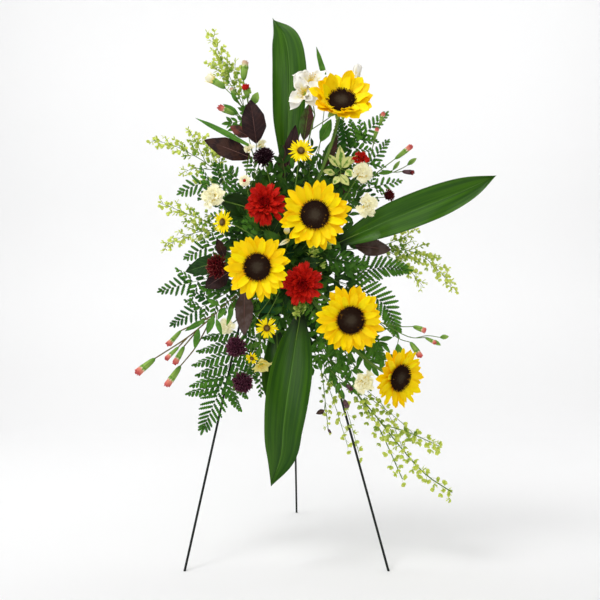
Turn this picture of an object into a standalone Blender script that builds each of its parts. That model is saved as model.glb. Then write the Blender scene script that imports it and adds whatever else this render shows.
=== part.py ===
"""Standing funeral spray: mixed flowers and foliage in a foam block on a folding wire easel.

Metres, +Z up. The viewer stands at -Y, so X is to the right and +Y is away from the viewer.
All places are written in the stand's own frame, whose front feet are on the line y = 0.
At the end everything hangs from one empty that centres the arrangement over the origin.
"""

import math
import random

import bmesh
import bpy
from mathutils import Matrix, Vector

# Clearances and wire
GAP = 0.0003
EASEL_WIRE = 0.00275

# Easel: feet and the point where the lines of the front legs would cross
LEFT_FOOT = Vector((-0.2575, 0.0, 0.0))
RIGHT_FOOT = Vector((0.1976, 0.0, 0.0))
BACK_FOOT = Vector((-0.0097, 0.495, 0.0))
LEG_CROSSING = Vector((-0.061, 0.25, 0.9585))
LEG_TOP = 0.90
HINGE_HEIGHT = 0.74
HINGE_X = -0.020
LOWER_BAR_HEIGHT = 0.60
BAR_OVERHANG = 0.006
EYE_TURN = math.radians(300)

# Foam block and the tray behind it
FOAM_MIN = Vector((-0.090, 0.055, 0.575))
FOAM_MAX = Vector((0.030, 0.135, 0.805))
HOLE_DEPTH = 0.030
HOLE_SIDES = 5
HOLE_RATIO = 1.42
TRAY_THICKNESS = 0.003
TRAY_SHELF_WIDTH = 0.034
HOOK_WIDTH = 0.024
HOOK_FROM_MIDDLE = 0.028

# Blade thicknesses at the midrib
LEAF_THICKNESS = 0.0010
PETAL_THICKNESS = 0.0011
FERN_THICKNESS = 0.0011

# Half length of the short stretch of a stem that a twig grows out of
COLLAR = 0.0012

# Sunflower
DISC_FOOT = 0.019
DISC_RADIUS = 0.0295
DISC_LIFT = 0.0030
DISC_HEIGHT = 0.009
PLATE_RADIUS = 0.022
PLATE_TOP = 0.0022
PLATE_BOTTOM = -0.0018

CAMERA_SIDE = Vector((0.0, -1.0, 0.0))


def clear_scene():
    for item in list(bpy.data.objects):
        bpy.data.objects.remove(item, do_unlink=True)


def new_collection(name):
    collection = bpy.data.collections.new(name)
    bpy.context.scene.collection.children.link(collection)
    return collection


def finish_material(name, colour, roughness, metallic=0.0):
    material = bpy.data.materials.new(name)
    material.use_nodes = True
    shader = material.node_tree.nodes["Principled BSDF"]
    shader.inputs["Base Color"].default_value = (*colour, 1.0)
    shader.inputs["Roughness"].default_value = roughness
    shader.inputs["Metallic"].default_value = metallic
    return material


clear_scene()
ARRANGEMENT = new_collection("funeral_spray")
CUTTERS = new_collection("cutters")
PIECES = new_collection("pieces")

GREEN_WIRE = finish_material("dark_green_wire", (0.02, 0.03, 0.025), 0.35, 0.6)
FOAM = finish_material("wet_foam", (0.05, 0.16, 0.06), 0.95)
TRAY = finish_material("tray_green", (0.03, 0.10, 0.04), 0.5)
STRAP_GREEN = finish_material("aspidistra_green", (0.05, 0.16, 0.04), 0.4)
STEM_GREEN = finish_material("stem_green", (0.12, 0.28, 0.06), 0.55)
SUN_YELLOW = finish_material("sunflower_yellow", (1.0, 0.55, 0.0), 0.5)
SUN_BROWN = finish_material("sunflower_disc", (0.03, 0.015, 0.008), 0.9)
RED = finish_material("deep_red", (0.45, 0.01, 0.008), 0.5)
CREAM = finish_material("cream", (0.85, 0.82, 0.55), 0.6)
DAISY_YELLOW = finish_material("daisy_yellow", (0.95, 0.75, 0.12), 0.55)
PLUM = finish_material("plum", (0.09, 0.02, 0.09), 0.7)
NEAR_BLACK = finish_material("near_black", (0.02, 0.006, 0.012), 0.7)
WHITE = finish_material("white_petal", (0.9, 0.88, 0.80), 0.5)
BURGUNDY = finish_material("burgundy_leaf", (0.10, 0.03, 0.03), 0.4)
GOLDENROD = finish_material("goldenrod", (0.38, 0.55, 0.06), 0.8)
BELL_GREEN = finish_material("bell_green", (0.50, 0.62, 0.08), 0.6)
FERN_GREEN = finish_material("fern_green", (0.03, 0.16, 0.02), 0.5)
BUD_CORAL = finish_material("bud_coral", (0.70, 0.22, 0.12), 0.6)
PALE_LEAF = finish_material("pale_leaf", (0.55, 0.60, 0.30), 0.5)

SEATS = []


# Curves and frames

def lerp(a, b, t):
    return a + (b - a) * t


def bezier(a, b, c, d, t):
    s = 1.0 - t
    return a * s ** 3 + b * (3 * s * s * t) + c * (3 * s * t * t) + d * t ** 3


def through(points, steps):
    """Points on a smooth curve through the given ones, steps to a span."""
    points = [Vector(p) for p in points]
    padded = [points[0] * 2 - points[1], *points, points[-1] * 2 - points[-2]]
    found = []
    for before, start, end, after in zip(padded, padded[1:], padded[2:], padded[3:]):
        for step in range(steps):
            lead = start + (end - before) / 6
            trail = end - (after - start) / 6
            found.append(bezier(start, lead, trail, end, step / steps))
    return [*found, points[-1]]


def aim(place, facing, roll=0.0):
    """Frame at a place whose Z points along facing, turned by roll about it."""
    turn = Vector(facing).to_track_quat("Z", "Y").to_matrix().to_4x4()
    return Matrix.Translation(Vector(place)) @ turn @ Matrix.Rotation(roll, 4, "Z")


# Closed pieces

def closed_piece(points, faces, frame=None):
    """Object from a closed surface, triangulated, with its faces pointing out."""
    mesh = bpy.data.meshes.new("piece")
    mesh.from_pydata([tuple(p) for p in points], [], faces)
    return clean_piece(mesh, frame)


def clean_piece(mesh, frame=None):
    form = bmesh.new()
    form.from_mesh(mesh)
    bmesh.ops.remove_doubles(form, verts=form.verts, dist=1e-6)
    bmesh.ops.triangulate(form, faces=form.faces)
    bmesh.ops.recalc_face_normals(form, faces=form.faces)
    form.to_mesh(mesh)
    form.free()
    if frame is not None:
        mesh.transform(frame)
    piece = bpy.data.objects.new("piece", mesh)
    PIECES.objects.link(piece)
    return piece


def loft(rings, frame=None):
    """Solid through rings of equal length; a ring of one point is a tip."""
    points = []
    starts = []
    for ring in rings:
        starts.append(len(points))
        points.extend(ring)
    faces = []
    for here, there, start, end in zip(rings, rings[1:], starts, starts[1:]):
        count = max(len(here), len(there))
        for i in range(count):
            j = (i + 1) % count
            if len(here) == 1:
                faces.append((start, end + i, end + j))
            elif len(there) == 1:
                faces.append((start + i, start + j, end))
            else:
                faces.append((start + i, start + j, end + j, end + i))
    if len(rings[0]) > 1:
        faces.append(tuple(range(len(rings[0]))))
    if len(rings[-1]) > 1:
        faces.append(tuple(range(starts[-1], starts[-1] + len(rings[-1]))))
    return closed_piece(points, faces, frame)


def wire(points, radius, tip_radius=None, resolution=0):
    """Round wire or stem as a closed mesh, with 4 sides and 2 more for each step of resolution."""
    tip_radius = radius if tip_radius is None else tip_radius
    curve = bpy.data.curves.new("wire", "CURVE")
    curve.dimensions = "3D"
    curve.bevel_depth = 1.0
    curve.bevel_resolution = resolution
    curve.use_fill_caps = True
    spline = curve.splines.new("POLY")
    spline.points.add(len(points) - 1)
    for i, place in enumerate(points):
        spline.points[i].co = (*place, 1.0)
        spline.points[i].radius = lerp(radius, tip_radius, i / (len(points) - 1))
    guide = bpy.data.objects.new("wire", curve)
    PIECES.objects.link(guide)
    bpy.context.view_layer.update()
    seen = guide.evaluated_get(bpy.context.evaluated_depsgraph_get())
    mesh = bpy.data.meshes.new_from_object(seen)
    bpy.data.objects.remove(guide, do_unlink=True)
    bpy.data.curves.remove(curve)
    return clean_piece(mesh)


def turned(profile, sides, frame=None):
    """Solid of revolution about Z through (radius, height) pairs; radius 0 is a tip."""
    rings = []
    for radius, height in profile:
        if radius == 0.0:
            rings.append([Vector((0, 0, height))])
        else:
            rings.append([Vector((radius * math.cos(2 * math.pi * i / sides),
                                  radius * math.sin(2 * math.pi * i / sides), height))
                          for i in range(sides)])
    return loft(rings, frame)


def bumpy_dome(foot, radius, lift, height, rows, around, bump, frame=None):
    """Dome that flares from its foot; its florets are every second point of each row, raised by bump."""
    rings = [[Vector((foot * math.cos(math.tau * i / around), foot * math.sin(math.tau * i / around), 0.0))
              for i in range(around)]]
    for row in range(rows):
        angle = row / rows * math.pi / 2
        ring = []
        for i in range(around):
            raised = bump if (i + row) % 2 else 0.0
            out = (radius + raised) * math.cos(angle)
            up = lift + (height - lift + raised) * math.sin(angle)
            turn = 2 * math.pi * i / around
            ring.append(Vector((out * math.cos(turn), out * math.sin(turn), up)))
        rings.append(ring)
    rings.append([Vector((0, 0, height))])
    return loft(rings, frame)


# Surfaces that grow

class Growth:
    """Closed surface grown ring by ring; a ring runs anticlockwise seen from ahead of it."""

    def __init__(self):
        self.form = bmesh.new()

    def ring(self, points):
        return [self.form.verts.new(p) for p in points]

    def band(self, here, there):
        """Quads between equal rings, or triangles along the shorter diagonals."""
        new = self.form.faces.new
        n, m = len(here), len(there)
        if n == m:
            def apart(k):
                return sum((here[i].co - there[(i + k) % n].co).length for i in range(n))
            shift = min(range(n), key=apart)
            return [new((here[i], here[(i + 1) % n], there[(i + 1 + shift) % n], there[(i + shift) % n]))
                    for i in range(n)]
        first = min(range(m), key=lambda k: (here[0].co - there[k].co).length)
        faces = []
        i = j = 0
        while i < n or j < m:
            a, next_a = here[i % n], here[(i + 1) % n]
            b, next_b = there[(first + j) % m], there[(first + j + 1) % m]
            may_turn = i < n and not (i == n - 1 and j == 0)
            must_turn = j == m or (j == m - 1 and i == 0)
            if may_turn and (must_turn or (next_a.co - b.co).length <= (next_b.co - a.co).length):
                faces.append(new((a, next_a, b)))
                i += 1
            else:
                faces.append(new((a, next_b, b)))
                j += 1
        return faces

    def close(self, ring, tip=None):
        """Flat end, or a point at tip."""
        if tip is None:
            self.form.faces.new(ring)
            return
        end = self.form.verts.new(tip)
        for i, vertex in enumerate(ring):
            self.form.faces.new((vertex, ring[(i + 1) % len(ring)], end))

    def extend(self, ring, sections, tip=None):
        """Grow on from a ring through the sections, then close."""
        bands = []
        for section in sections:
            ahead = self.ring(section)
            bands.append(self.band(ring, ahead))
            ring = ahead
        self.close(ring, tip)
        return bands

    def sprout(self, face, sections, tip=None):
        """Grow a petal, leaflet or floret out of a face."""
        root = [corner.vert for corner in face.loops]
        self.form.faces.remove(face)
        return self.extend(root, sections, tip)

    def piece(self):
        mesh = bpy.data.meshes.new("grown")
        self.form.to_mesh(mesh)
        self.form.free()
        return clean_piece(mesh)


def section(place, along, facing, width, thickness):
    """Four corners round a place on a stem or blade, anticlockwise seen from ahead."""
    side = along.cross(facing).normalized() * (width / 2)
    up = side.cross(along).normalized() * (thickness / 2)
    return [place + side + up, place + side - up, place - side - up, place - side + up]


def sections_along(points, widths, thicknesses, facing):
    found = []
    for i, place in enumerate(points):
        along = (points[min(i + 1, len(points) - 1)] - points[max(i - 1, 0)]).normalized()
        found.append(section(place, along, facing, widths[i], thicknesses[i]))
    return found


class Twig:
    """Axis of a stem or twig, what it ends in, and the twigs that leave it."""

    def __init__(self, path, radius, end, tip_radius=None):
        self.path = [Vector(place) for place in path]
        self.radius = radius
        self.tip_radius = radius if tip_radius is None else tip_radius
        self.end = end
        self.kids = []
        self.lengths = [0.0]
        for a, b in zip(self.path, self.path[1:]):
            self.lengths.append(self.lengths[-1] + (b - a).length)

    def at(self, distance):
        """Place and direction at a distance along the axis."""
        last = len(self.lengths) - 2
        k = min(last, max(i for i in range(last + 1) if self.lengths[i] <= distance + 1e-9))
        span = self.lengths[k + 1] - self.lengths[k]
        here = lerp(self.path[k], self.path[k + 1], (distance - self.lengths[k]) / span)
        ahead = (self.path[k + 1] - self.path[k]).normalized()
        if k > 0 and distance - self.lengths[k] < 1e-6:
            ahead = (ahead + (self.path[k] - self.path[k - 1]).normalized()).normalized()
        return here, ahead

    def nearest(self, place):
        """Distance along the axis of its nearest point to a place, and how far off that is."""
        best = (0.0, math.inf)
        for i, (a, b) in enumerate(zip(self.path, self.path[1:])):
            span = b - a
            share = max(0.0, min(1.0, (place - a).dot(span) / max(span.length_squared, 1e-12)))
            off = (a + span * share - place).length
            if off < best[1]:
                best = (self.lengths[i] + share * span.length, off)
        return best

    def grow(self, growth, ring=None, clear=0.0):
        """Rings along the axis, with a short collar where each kid leaves; then the end."""
        total = self.lengths[-1]
        collars = []
        limit = total - 0.0004
        for distance, kid in sorted(self.kids, key=lambda item: -item[0]):
            high = min(distance + COLLAR, limit)
            collars.append((high - 2 * COLLAR, high, kid))
            limit = high - 2 * COLLAR - 0.0008
        stops = [stop for stop in self.lengths
                 if (stop > clear + 0.0006 or (ring is None and stop == 0.0))
                 and not any(low - 0.0015 < stop < high + 0.0015 for low, high, _ in collars)]
        if total not in stops:
            stops.append(total)
        marks = sorted([(stop, None) for stop in stops]
                       + [(low, None) for low, _, _ in collars] + [(high, kid) for _, high, kid in collars],
                       key=lambda item: item[0])
        up = None
        joints = []
        for stop, kid in marks:
            here, ahead = self.at(stop)
            if up is None:
                up = Vector((0.0, -1.0, 0.2)) if abs(ahead.y) < 0.8 else Vector((1.0, 0.0, 0.1))
            up = (up - ahead * up.dot(ahead)).normalized()
            size = 1.6 * lerp(self.radius, self.tip_radius, stop / total)
            fresh = growth.ring(section(here, ahead, up, size, size))
            if ring is None:
                growth.close(fresh[::-1])
            else:
                band = growth.band(ring, fresh)
                if kid is not None:
                    joints.append((band, kid))
            ring = fresh
        self.end(growth, ring)
        for band, kid in joints:
            way = (kid.path[1] - kid.path[0]).normalized()
            for face in band:
                face.normal_update()
            face = max(band, key=lambda side: side.normal.dot(way))
            root = [corner.vert for corner in face.loops]
            growth.form.faces.remove(face)
            kid.grow(growth, root, self.radius * 1.1)


def cut_end(growth, ring):
    growth.close(ring)


def arc_at(start, bend, length, share):
    """Place and slope on a midrib of constant curve, out along X and up along Z."""
    turn = bend * share
    chord = length * share
    if abs(turn) > 0.01:
        chord *= math.sin(turn / 2) / (turn / 2)
    angle = start + turn / 2
    return chord * math.cos(angle), chord * math.sin(angle), start + turn


def head_end(frame, profile, around, rows, seed, apex=None):
    """Bloom at the end of a stem: a turned core, with petals out of every second face of its bands.

    profile: radius and height of the core's rings, from the stem up.
    rows: band, length, width, start slope, bend, petal shape as (share, width) pairs, and end,
    which is the share of the length where the blade closes: 1 is a point, less is a notch.
    """
    def grow_head(growth, ring):
        rng = random.Random(seed)
        rings = []
        for radius, height in profile:
            turns = [math.tau * i / around for i in range(around)]
            rings.append(growth.ring([frame @ Vector((radius * math.cos(a), radius * math.sin(a), height))
                                      for a in turns]))
        if ring is None:
            growth.close(rings[0][::-1])
        else:
            growth.band(ring, rings[0])
        bands = [growth.band(a, b) for a, b in zip(rings, rings[1:])]
        growth.close(rings[-1], None if apex is None else frame @ Vector((0, 0, apex)))
        spin = frame.to_3x3()
        for number, (band, length, width, start, bend, shape, end) in enumerate(rows):
            root_radius = (profile[band][0] + profile[band + 1][0]) / 2
            root_height = (profile[band][1] + profile[band + 1][1]) / 2
            for i in range(number % 2, around, 2):
                azimuth = math.tau * (i + 0.5) / around + rng.uniform(-0.5, 0.5) / around
                slope = start + rng.uniform(-0.03, 0.03)
                curl = bend(azimuth, rng) if callable(bend) else bend * rng.uniform(0.8, 1.2)
                reach = length * rng.uniform(0.93, 1.05)
                twist = rng.uniform(-0.12, 0.12)
                out = Vector((math.cos(azimuth), math.sin(azimuth), 0.0))
                across = Vector((-math.sin(azimuth), math.cos(azimuth), 0.0))
                root = out * root_radius + Vector((0, 0, root_height))
                sections = []
                for share, part_width in shape:
                    x, z, angle = arc_at(slope, curl, reach, share)
                    place = frame @ (root + out * x + Vector((0, 0, z)))
                    along = out * math.cos(angle) + Vector((0, 0, math.sin(angle)))
                    up = across.cross(along) + across * (twist * share)
                    wide = width * part_width
                    sections.append(section(place, spin @ along, spin @ up, wide, PETAL_THICKNESS))
                x, z, angle = arc_at(slope, curl, reach, end)
                growth.sprout(bands[band][i], sections, frame @ (root + out * x + Vector((0, 0, z))))
    return grow_head


def grown(twig):
    growth = Growth()
    twig.grow(growth)
    return growth.piece()


def bare_head(end):
    """Head with no stem of its own."""
    growth = Growth()
    end(growth, None)
    return growth.piece()


POINTED = ((0.40, 0.95), (0.72, 0.86))
LANCE = ((0.50, 1.0),)
STRAP = ((1.0, 0.90),)
FAN = ((1.0, 1.0),)
SPIKE = ()


class Spray:
    """Leafy or flowering stem that grows as one surface from its hole."""

    def __init__(self, name, root, stalk, radius, material, steps=1):
        start, _ = seated(root, radius)
        path = start[:1] + through([start[1], *stalk], steps)
        self.name = name
        self.material = material
        self.twigs = [Twig(path, radius, cut_end, radius * 0.85)]

    def branch(self, points, radius, end, steps=1):
        """Twig that leaves the nearest axis to its first point."""
        first = Vector(points[0])
        parent = min(self.twigs, key=lambda twig: twig.nearest(first)[1])
        distance = parent.nearest(first)[0]
        path = through([parent.at(distance)[0], *points[1:]], steps)
        twig = Twig(path, radius, end)
        parent.kids.append((distance, twig))
        self.twigs.append(twig)
        return twig

    def leaf(self, points, tip, width, facing=(0.0, -1.0, 0.1), sag=0.003):
        tip, base = Vector(tip), Vector(points[-1])
        facing = Vector(facing).normalized()
        shape = ((0.28, 0.92), (0.62, 0.86))
        blades = [section(lerp(base, tip, share) + facing * (sag * math.sin(math.pi * share)),
                          tip - base, facing,
                          width * part_width, LEAF_THICKNESS) for share, part_width in shape]
        self.branch(points, 0.0011, lambda growth, ring: growth.extend(ring, blades, tip))

    def bud(self, points, tip, radius):
        """Twig that ends in a calyx with folded petals."""
        tip, base = Vector(tip), Vector(points[-1])
        along = tip - base
        shape = ((0.35, 1.7), (0.80, 1.35))
        swell = [section(base + along * share, along, Vector((0.05, -1.0, 0.1)),
                         radius * size, radius * size)
                 for share, size in shape]
        self.branch(points, 0.0012, lambda growth, ring: growth.extend(ring, swell, tip))

    def bell(self, spot, way, size):
        """Small bell that hangs from a short stalk."""
        spot = Vector(spot)
        way = Vector(way).normalized()
        neck = spot + way * size
        fall = (way * 0.7 + Vector((0, 0, -0.7))).normalized()
        side = Vector((0.3, -1.0, 0.1))
        cup = [section(neck + fall * size * 1.1, fall, side, size * 0.80, size * 0.80)]
        tip = neck + fall * size * 0.75
        self.branch([spot, neck], 0.0009, lambda growth, ring: growth.extend(ring, cup, tip))

    def bloom(self, maker, at, facing, points, back, *settings):
        """Head on a twig that leaves the nearest axis and arrives at the back of the head."""
        neck = Vector(at) - Vector(facing).normalized() * back
        self.branch([*points, neck], 0.0012, maker(aim(at, facing), *settings))

    def rail(self, points, dress):
        """Twig whose end is a rib with leaflets or florets."""
        self.branch([points[0], lerp(Vector(points[0]), Vector(points[1]), 0.12)], 0.0012, dress)

    def finish(self):
        as_node(self.name, grown(self.twigs[0]), self.material, self.twigs[0].path[1])


# Nodes

def as_node(name, piece, material, origin=None):
    """Named part from a finished piece, with its origin where it is placed."""
    PIECES.objects.unlink(piece)
    ARRANGEMENT.objects.link(piece)
    piece.name = name
    piece.data.name = name
    piece.data.materials.clear()
    piece.data.materials.append(material)
    if origin is not None:
        origin = Vector(origin)
        piece.data.transform(Matrix.Translation(-origin))
        piece.location = origin
    return piece


def joined(pieces):
    """One body from closed pieces that run into each other."""
    base, *others = pieces
    if not others:
        return base
    group = bpy.data.collections.new("repeats")
    bpy.context.scene.collection.children.link(group)
    for other in others:
        group.objects.link(other)
    union = base.modifiers.new("union", "BOOLEAN")
    union.operation = "UNION"
    union.operand_type = "COLLECTION"
    union.collection = group
    union.solver = "EXACT"
    bpy.context.view_layer.update()
    seen = base.evaluated_get(bpy.context.evaluated_depsgraph_get())
    mesh = bpy.data.meshes.new_from_object(seen)
    for used in pieces:
        bpy.data.objects.remove(used, do_unlink=True)
    bpy.data.collections.remove(group)
    return clean_piece(mesh)


def part(name, pieces, material, origin=None):
    return as_node(name, joined(pieces), material, origin)


# Stems in the foam

def foam_seat(face, u, v):
    """Bottom and mouth of a stem hole, and the way out of it.

    On the front u is x and v is z, on the left and right u is y and v is z,
    on the top and bottom u is x and v is y.
    """
    if face == "front":
        mouth = Vector((u, FOAM_MIN.y, v))
        way = Vector((0, -1, 0))
    elif face == "left":
        mouth = Vector((FOAM_MIN.x, u, v))
        way = Vector((-1, 0, 0))
    elif face == "right":
        mouth = Vector((FOAM_MAX.x, u, v))
        way = Vector((1, 0, 0))
    elif face == "top":
        mouth = Vector((u, v, FOAM_MAX.z))
        way = Vector((0, 0, 1))
    else:
        mouth = Vector((u, v, FOAM_MIN.z))
        way = Vector((0, 0, -1))
    return mouth - way * HOLE_DEPTH, mouth, way


def seated(root, radius):
    """Start of a stem in its hole; notes the hole for the foam's cutters."""
    bottom, mouth, way = foam_seat(*root)
    SEATS.append((bottom, mouth, way, radius))
    return [bottom + way * GAP, mouth + way * 0.004], way


def stem_path(root, radius, head, arrive, steps=3, pull=0.45):
    """Stem from its hole to the back of a head, arriving along the way that the head faces."""
    start, way = seated(root, radius)
    head = Vector(head)
    span = (head - start[1]).length * pull
    lead = start[1] + way * span
    trail = head - Vector(arrive).normalized() * span
    return start[:1] + [bezier(start[1], lead, trail, head, i / steps) for i in range(steps + 1)]


def routed(root, radius, points, steps=2):
    """Stem from its hole through points set by hand."""
    start, _ = seated(root, radius)
    return start[:1] + through([start[1], *points], steps)


# Easel

def on_line(foot, height):
    return lerp(foot, LEG_CROSSING, height / LEG_CROSSING.z)


def level_ended(points, radius, resolution=2):
    """Wire whose first end is cut flat on the floor."""
    first, second = Vector(points[0]), Vector(points[1])
    along = (second - first).normalized()
    longer = [first - along * (radius * 3), *points[1:]]
    rod = wire(longer, radius, resolution=resolution)
    form = bmesh.new()
    form.from_mesh(rod.data)
    cut = bmesh.ops.bisect_plane(form, geom=form.verts[:] + form.edges[:] + form.faces[:],
                                 plane_co=(0, 0, 0), plane_no=(0, 0, 1), clear_inner=True)
    rim = [item for item in cut["geom_cut"] if isinstance(item, bmesh.types.BMEdge)]
    bmesh.ops.holes_fill(form, edges=rim)
    bmesh.ops.triangulate(form, faces=form.faces)
    form.to_mesh(rod.data)
    form.free()
    return rod


def build_easel():
    for side, foot in (("left", LEFT_FOOT), ("right", RIGHT_FOOT)):
        leg = level_ended([foot, on_line(foot, LEG_TOP)], EASEL_WIRE)
        as_node("front_leg_" + side, leg, GREEN_WIRE, foot)
    for name, height in (("hinge_bar", HINGE_HEIGHT), ("lower_bar", LOWER_BAR_HEIGHT)):
        left = on_line(LEFT_FOOT, height)
        right = on_line(RIGHT_FOOT, height)
        behind = Vector((0, 2 * EASEL_WIRE + GAP, 0)) * (1 if name == "hinge_bar" else -1)
        over = Vector((BAR_OVERHANG, 0, 0))
        bar = wire([left - over + behind, right + over + behind], EASEL_WIRE, resolution=2)
        as_node(name, bar, GREEN_WIRE, left + behind)


def hinge_centre():
    line = on_line(LEFT_FOOT, HINGE_HEIGHT)
    return Vector((HINGE_X, line.y + 2 * EASEL_WIRE + GAP, HINGE_HEIGHT))


def build_back_leg():
    centre = hinge_centre()
    eye = 2 * EASEL_WIRE + 2 * GAP
    down = (BACK_FOOT - centre).normalized()
    turn = math.atan2(down.z, down.y)
    points = []
    for step in range(9):
        angle = turn + EYE_TURN * (1 - step / 8)
        points.append(centre + Vector((0.004 * (step / 8 - 1), eye * math.cos(angle),
                                       eye * math.sin(angle))))
    points.append(BACK_FOOT)
    leg = level_ended(points[::-1], EASEL_WIRE)
    as_node("back_leg", leg, GREEN_WIRE, centre)


def box_piece(low, high):
    low, high = Vector(low), Vector(high)
    form = bmesh.new()
    bmesh.ops.create_cube(form, size=1.0)
    mesh = bpy.data.meshes.new("box")
    form.to_mesh(mesh)
    form.free()
    size = high - low
    return clean_piece(mesh, Matrix.Translation((low + high) / 2) @ Matrix.Diagonal((*size, 1.0)))


def build_tray():
    back = FOAM_MAX.y + GAP
    plate = box_piece((FOAM_MIN.x, back, FOAM_MIN.z - 0.004),
                      (FOAM_MAX.x, back + TRAY_THICKNESS, FOAM_MAX.z))
    middle = (FOAM_MIN.x + FOAM_MAX.x) / 2
    half = TRAY_SHELF_WIDTH / 2
    shelf = box_piece((middle - half, FOAM_MIN.y + 0.02, FOAM_MIN.z - GAP - TRAY_THICKNESS),
                      (middle + half, back + 0.001, FOAM_MIN.z - GAP))
    pieces = [plate, shelf]
    lower = on_line(LEFT_FOOT, LOWER_BAR_HEIGHT) - Vector((0, 2 * EASEL_WIRE + GAP, 0))
    upper = on_line(LEFT_FOOT, HINGE_HEIGHT) + Vector((0, 2 * EASEL_WIRE + GAP, 0))
    reach = EASEL_WIRE + GAP
    for bar in (lower, upper):
        top = bar.z + reach
        across = middle - HOOK_FROM_MIDDLE
        pieces.append(box_piece((across, back + 0.001, top),
                                (across + HOOK_WIDTH, bar.y + reach + 0.003, top + 0.003)))
        pieces.append(box_piece((across + 0.0005, bar.y + reach, bar.z - 0.004),
                                (across + HOOK_WIDTH - 0.0005, bar.y + reach + 0.0025, top + 0.001)))
    part("foam_tray", pieces, TRAY, (middle, back, FOAM_MIN.z))


def build_foam():
    """Foam block with one plain hole for each stem."""
    block = box_piece(FOAM_MIN, FOAM_MAX)
    block.name = "foam"
    holes = bpy.data.collections.new("stem_holes")
    CUTTERS.children.link(holes)
    for bottom, mouth, way, radius in SEATS:
        form = bmesh.new()
        bmesh.ops.create_cone(form, cap_ends=True, segments=HOLE_SIDES, radius1=HOLE_RATIO * radius + GAP,
                              radius2=HOLE_RATIO * radius + GAP, depth=HOLE_DEPTH + 0.01)
        mesh = bpy.data.meshes.new("hole")
        form.to_mesh(mesh)
        form.free()
        mesh.transform(aim((bottom + mouth + way * 0.01) / 2, way, 0.3))
        cutter = bpy.data.objects.new("hole", mesh)
        cutter.hide_render = True
        cutter.display_type = "WIRE"
        holes.objects.link(cutter)
    cut = block.modifiers.new("holes", "BOOLEAN")
    cut.operation = "DIFFERENCE"
    cut.operand_type = "COLLECTION"
    cut.collection = holes
    bpy.context.view_layer.update()
    seen = block.evaluated_get(bpy.context.evaluated_depsgraph_get())
    mesh = bpy.data.meshes.new_from_object(seen)
    bpy.data.objects.remove(block, do_unlink=True)
    for used in list(holes.objects):
        bpy.data.objects.remove(used, do_unlink=True)
    bpy.data.collections.remove(holes)
    as_node("foam", clean_piece(mesh), FOAM, (FOAM_MIN + FOAM_MAX) / 2)


# Strap leaves

def strap_leaf(name, root, stalk, spine, widths, facing, channel=0.12, wave=0.004, seed=1):
    """Long leaf: an open waved surface thickened on both sides, on its stalk."""
    rng = random.Random(seed)
    phase = rng.uniform(0, math.tau)
    middle = [Vector(place) for place in spine]
    count = len(middle) - 1
    across = (-1.0, -0.5, 0.0, 0.5, 1.0)
    form = bmesh.new()
    rows = []
    for i, (place, width) in enumerate(zip(middle, widths)):
        if width == 0.0:
            rows.append([form.verts.new(place)])
            continue
        along = (middle[min(i + 1, count)] - middle[max(i - 1, 0)]).normalized()
        side = along.cross(facing).normalized()
        up = side.cross(along).normalized()
        row = []
        for share in across:
            lift = channel * width * share * share
            ripple = wave * math.sin(phase + i * 1.3 + share * 2.0) * abs(share)
            row.append(form.verts.new(place + side * (share * width / 2) + up * (lift + ripple)))
        rows.append(row)
    for here, there in zip(rows, rows[1:]):
        for j in range(len(across) - 1):
            if len(there) == 1:
                form.faces.new((here[j], here[j + 1], there[0]))
            else:
                form.faces.new((here[j], here[j + 1], there[j + 1], there[j]))
    bmesh.ops.triangulate(form, faces=form.faces)
    mesh = bpy.data.meshes.new("leaf")
    form.to_mesh(mesh)
    form.free()
    sheet = bpy.data.objects.new("leaf", mesh)
    PIECES.objects.link(sheet)
    shell = sheet.modifiers.new("thickness", "SOLIDIFY")
    shell.thickness = LEAF_THICKNESS
    shell.offset = 0.0
    bpy.context.view_layer.update()
    seen = sheet.evaluated_get(bpy.context.evaluated_depsgraph_get())
    solid = clean_piece(bpy.data.meshes.new_from_object(seen))
    bpy.data.objects.remove(sheet, do_unlink=True)
    stalk_points = routed(root, 0.002, [*stalk, middle[0], middle[1]], 2)
    part(name, [solid, wire(stalk_points, 0.002, 0.0012)], STRAP_GREEN, stalk_points[1])


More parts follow.
